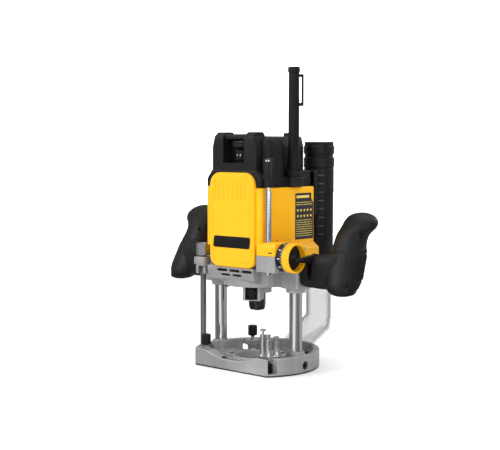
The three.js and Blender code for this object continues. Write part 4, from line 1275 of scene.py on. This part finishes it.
# ================================================================== dial, switch, lock lever
def figure(text, heading):
    """a raised figure standing on the rim of the dial"""
    curve = bpy.data.curves.new("figure", "FONT")
    curve.body = text
    curve.size = 4.6 * MM
    curve.extrude = 0.12 * MM
    curve.align_x = "CENTER"
    curve.align_y = "CENTER"
    writing = bpy.data.objects.new("figure", curve)
    bpy.context.scene.collection.objects.link(writing)
    bpy.context.view_layer.update()
    graph = bpy.context.evaluated_depsgraph_get()
    mesh = bpy.data.meshes.new_from_object(writing.evaluated_get(graph))
    bpy.data.objects.remove(writing)
    bpy.data.curves.remove(curve)
    o = bpy.data.objects.new("part", mesh)
    bpy.context.scene.collection.objects.link(o)
    # text lies in xy facing z: stand it up facing -y, then carry it round the dial
    mesh.transform(Matrix.Translation(metres(*DIAL, 297.4))
                   @ Matrix.Rotation(math.radians(heading), 4, "Z")
                   @ Matrix.Translation((0, -7.92 * MM, 0))
                   @ Matrix.Rotation(math.radians(90), 4, "X"))
    return o


def speed_dial():
    outline = [polar(DIAL, 8.6 - flute(t, 16, 0.55, 2), t) for t in angles(96)]
    dial = slab(outline, 291, 303.8, low_r=0.5, high_r=0.5)
    fuse(dial, cyl(2, 289, 305.1, DIAL, n=32))
    # smooth band for the figures
    cut(dial, lathe([(7.85, 294.4), (9.2, 294.4), (9.2, 300.4), (7.85, 300.4)], DIAL))
    soft(dial, 30)
    show(dial, "dial", "black", "speed_dial")
    show(join([figure(str(i + 1), (i - 2.5) * 44) for i in range(6)]), "dial", "mark_white",
         name="dial_numbers")


def power_switch():
    profile = [(-43, 308), (-43, 317), (-34, 318.8), (-26, 315), (-26, 311), (-34, 306.8)]
    switch = slab(rounded(profile, 1.4, 5), -7.6, 11.6, "x", low_r=0.8, high_r=0.8)
    for i in range(3):
        cut(switch, cyl(0.7, -4.6, 8.6, (-43.2, 309.8 + 2.7 * i), axis="x", n=14))
    soft(switch, 30)
    show(switch, "switch", "gloss", "power_switch")


def lock_lever():
    profile = [(-5, 164), (-24, 162.4), (-41, 160.6), (-42, 157), (-24, 154.4), (-4, 151.5)]
    lever = slab(rounded(profile, 1.6), 100, 106.2, "x", low_r=1.2, high_r=1.2)
    fuse(lever, lathe([(0, 100), (7.1, 100), (7.5, 100.4), (7.5, 105.4), (6.7, 106.2),
                       (0, 106.2)], LEVER_PIVOT, axis="x", n=60))
    cut(lever, cyl(2.9, 98, 104, LEVER_PIVOT, axis="x", n=28))
    for i in range(4):
        cut(lever, cyl(0.6, 99, 108, (-38 + 3.6 * i, 161.9 + 0.34 * i), axis="x", n=12))
    soft(lever, 30)
    show(lever, "lever", "black", "lock_lever")


for build in (
        columns, base_casting, sole_plate, limit_rod, dust_duct, turret, groove_painted_shade,
        rod_clamps, height_limiter, carriage_casting, carriage_shade_and_linings, motor_housing,
        rating_labels, front_cover, top_cap, rear_cover, cord_protector, dust_tube, handles,
        collet_nut, lock_button, depth_rod_guide, fine_knob, depth_wheel, scale_ring,
        speed_dial, power_switch, lock_lever):
    build()

# CAD nodes shown as they are: material, bevel width, nodes
for look, width, names in (
        ("dark_steel", 0.3, ("column_screw_left", "column_screw_right")),
        ("dark_steel", 0.25, ("handle_screw_lower", "handle_screw_upper")),
        ("steel", 0.15, ("collet", "depth_pinion")),
        ("steel", 0.2, ("spring_pin_left", "spring_pin_right")),
        ("steel", 0.25, ("lock_screw",)),
        ("steel", 0.3, ("turret_pivot_screw", "spindle_shaft", "spindle_lock_collar")),
        ("steel", 0.4, ("lower_bearing", "upper_bearing")),
        ("brass", 0.2, ("column_bush_left", "column_bush_right")),
        ("laminate", 0.5, ("stator", "armature")),
        ("carbon", 0.3, ("brush_left", "brush_right")),
        ("copper", 0.4, ("commutator",)),
        ("black", 0.25, ("fan",)),
        ("black", 0.5, ("collar_button",))):
    for name in names:
        keep(name, look, width)


# ================================================================== camera, floor, light
AHEAD = Vector((-0.656, 0.755, 0)).normalized()
ASIDE = Vector((0.755, 0.656, 0)).normalized()


def camera():
    data = bpy.data.cameras.new("camera")
    data.lens = 78.48
    data.sensor_width = 36
    data.clip_start = 0.05
    data.clip_end = 50
    o = bpy.data.objects.new("camera", data)
    bpy.context.scene.collection.objects.link(o)
    o.location = metres(1003.8, -1154.7, 311.4)
    o.rotation_mode = "QUATERNION"
    view = AHEAD * 1090 + ASIDE * -7.6 + Vector((0, 0, -80))
    o.rotation_quaternion = view.to_track_quat("-Z", "Y")
    bpy.context.scene.camera = o


def studio_reflection(tree, direction):
    """what bright metal sees: a tall soft strip on one side, dark flags beside it,
    mid grey behind"""
    level = node(tree, "VectorMath", {0: direction, 1: (1, 1, 0)}, operation="MULTIPLY")
    unit = node(tree, "VectorMath", {0: level.outputs["Vector"]}, operation="NORMALIZE")
    facing = node(tree, "VectorMath", {0: unit.outputs["Vector"], 1: (0.31, -0.95, 0)},
                  operation="DOT_PRODUCT")
    # how squarely the strip is faced, grey level
    stops = ((0.0, 0.42), (0.20, 0.16), (0.60, 0.14), (0.85, 0.26), (0.935, 0.5), (0.972, 1.0))
    return ramp(tree, facing.outputs["Value"], *[(at, (grey,) * 3) for at, grey in stops])


def mix_shader(tree, factor, first, second):
    return node(tree, "MixShader", {0: factor, 1: first, 2: second}).outputs[0]


def floor_paper():
    paper = material("floor_paper", (0.80, 0.80, 0.80), rough=0.75, bump=0.02, grain=60,
                     vary=0.003, spec=0.2)
    tree = paper.node_tree
    surface = tree.nodes["Principled BSDF"]
    place = node(tree, "NewGeometry").outputs["Position"]
    height = node(tree, "SeparateXYZ", {0: place}).outputs["Z"]
    glow = map_range(tree, height, 0.20, 0.75, from_max=1.2)
    # far from the object the camera sees the paper as white from every side
    camera_ray = node(tree, "LightPath").outputs["Is Camera Ray"]
    distance = node(tree, "VectorMath", {0: place}, operation="LENGTH").outputs["Value"]
    far = map_range(tree, distance, 0.0, 0.85, from_min=0.7, from_max=2.0)
    glow = node(tree, "Math", {0: far, 1: camera_ray, 2: glow}, operation="MULTIPLY_ADD")
    feed(tree, surface, {"Emission Color": (1, 1, 1, 1), "Emission Strength": glow.outputs[0]})
    # in mirror-like reflections the paper reads as a mid grey, so bright metal keeps its shape
    glossy_ray = node(tree, "LightPath").outputs["Is Glossy Ray"]
    mirrored_paper = node(tree, "Emission", {
        "Strength": 0.95, "Color": studio_reflection(tree, place)})
    mixed = mix_shader(tree, glossy_ray, surface.outputs[0], mirrored_paper.outputs[0])
    feed(tree, tree.nodes["Material Output"], {"Surface": mixed})
    return paper


def floor():
    """paper that curves up behind, in metres"""
    radius, half_width, drop = 2.5, 9, 0.0002
    sweep = []  # distance ahead, height
    for i in range(41):
        t = i / 40
        if t < 0.5:
            sweep.append((-4.0 + 2 * t * 6.0, 0.0))
        else:
            a = (t - 0.5) * math.pi
            sweep.append((2.0 + radius * math.sin(a), radius * (1 - math.cos(a))))
    sweep.append((4.5, 7.0))
    verts = []
    for distance, height in sweep:
        for w in (-half_width, half_width):
            p = AHEAD * distance + ASIDE * w
            verts.append((p.x, p.y, height - drop))
    faces = [(2 * i, 2 * i + 1, 2 * i + 3, 2 * i + 2) for i in range(len(sweep) - 1)]
    mesh = bpy.data.meshes.new("floor")
    mesh.from_pydata(verts, [], faces)
    o = bpy.data.objects.new("floor", mesh)
    bpy.context.scene.collection.objects.link(o)
    mesh.polygons.foreach_set("use_smooth", [True] * len(mesh.polygons))
    mesh.materials.append(floor_paper())


def world():
    made = bpy.data.worlds.new("world")
    bpy.context.scene.world = made
    made.use_nodes = True
    tree = made.node_tree
    ambient = tree.nodes["Background"]
    feed(tree, ambient, {"Color": (1, 1, 1, 1), "Strength": 0.55})
    direction = node(tree, "TexCoord").outputs["Generated"]
    ray = node(tree, "LightPath").outputs
    reflected = node(tree, "Background", {
        "Strength": 0.95, "Color": studio_reflection(tree, direction)})
    mixed = mix_shader(tree, ray["Is Glossy Ray"], ambient.outputs[0], reflected.outputs[0])
    # beyond the paper sweep the camera sees the same white as the paper
    white = node(tree, "Background", {"Color": (1, 1, 1, 1), "Strength": 1.0})
    mixed = mix_shader(tree, ray["Is Camera Ray"], mixed, white.outputs[0])
    feed(tree, tree.nodes["World Output"], {"Surface": mixed})


def area_light(name, place, size, power):
    """square light aimed at the middle of the router; metres and watts"""
    data = bpy.data.lights.new(name, "AREA")
    data.energy = power
    data.size = size
    o = bpy.data.objects.new(name, data)
    bpy.context.scene.collection.objects.link(o)
    o.location = place
    o.rotation_mode = "QUATERNION"
    aim = Vector((0, 0, 0.18)) - Vector(place)
    o.rotation_quaternion = aim.to_track_quat("-Z", "Y")


camera()
floor()
world()
area_light("key", (-0.95, -1.75, 1.35), size=1.1, power=29)
area_light("fill", (1.9, -0.9, 0.7), size=1.2, power=13)
area_light("back", (0.5, 1.9, 1.5), size=1.4, power=12)
area_light("top", (-0.2, 0.1, 2.2), size=1.6, power=16)

view_settings = bpy.context.scene.view_settings
view_settings.view_transform = "Standard"
view_settings.look = "None"
view_settings.exposure = 0
view_settings.gamma = 1
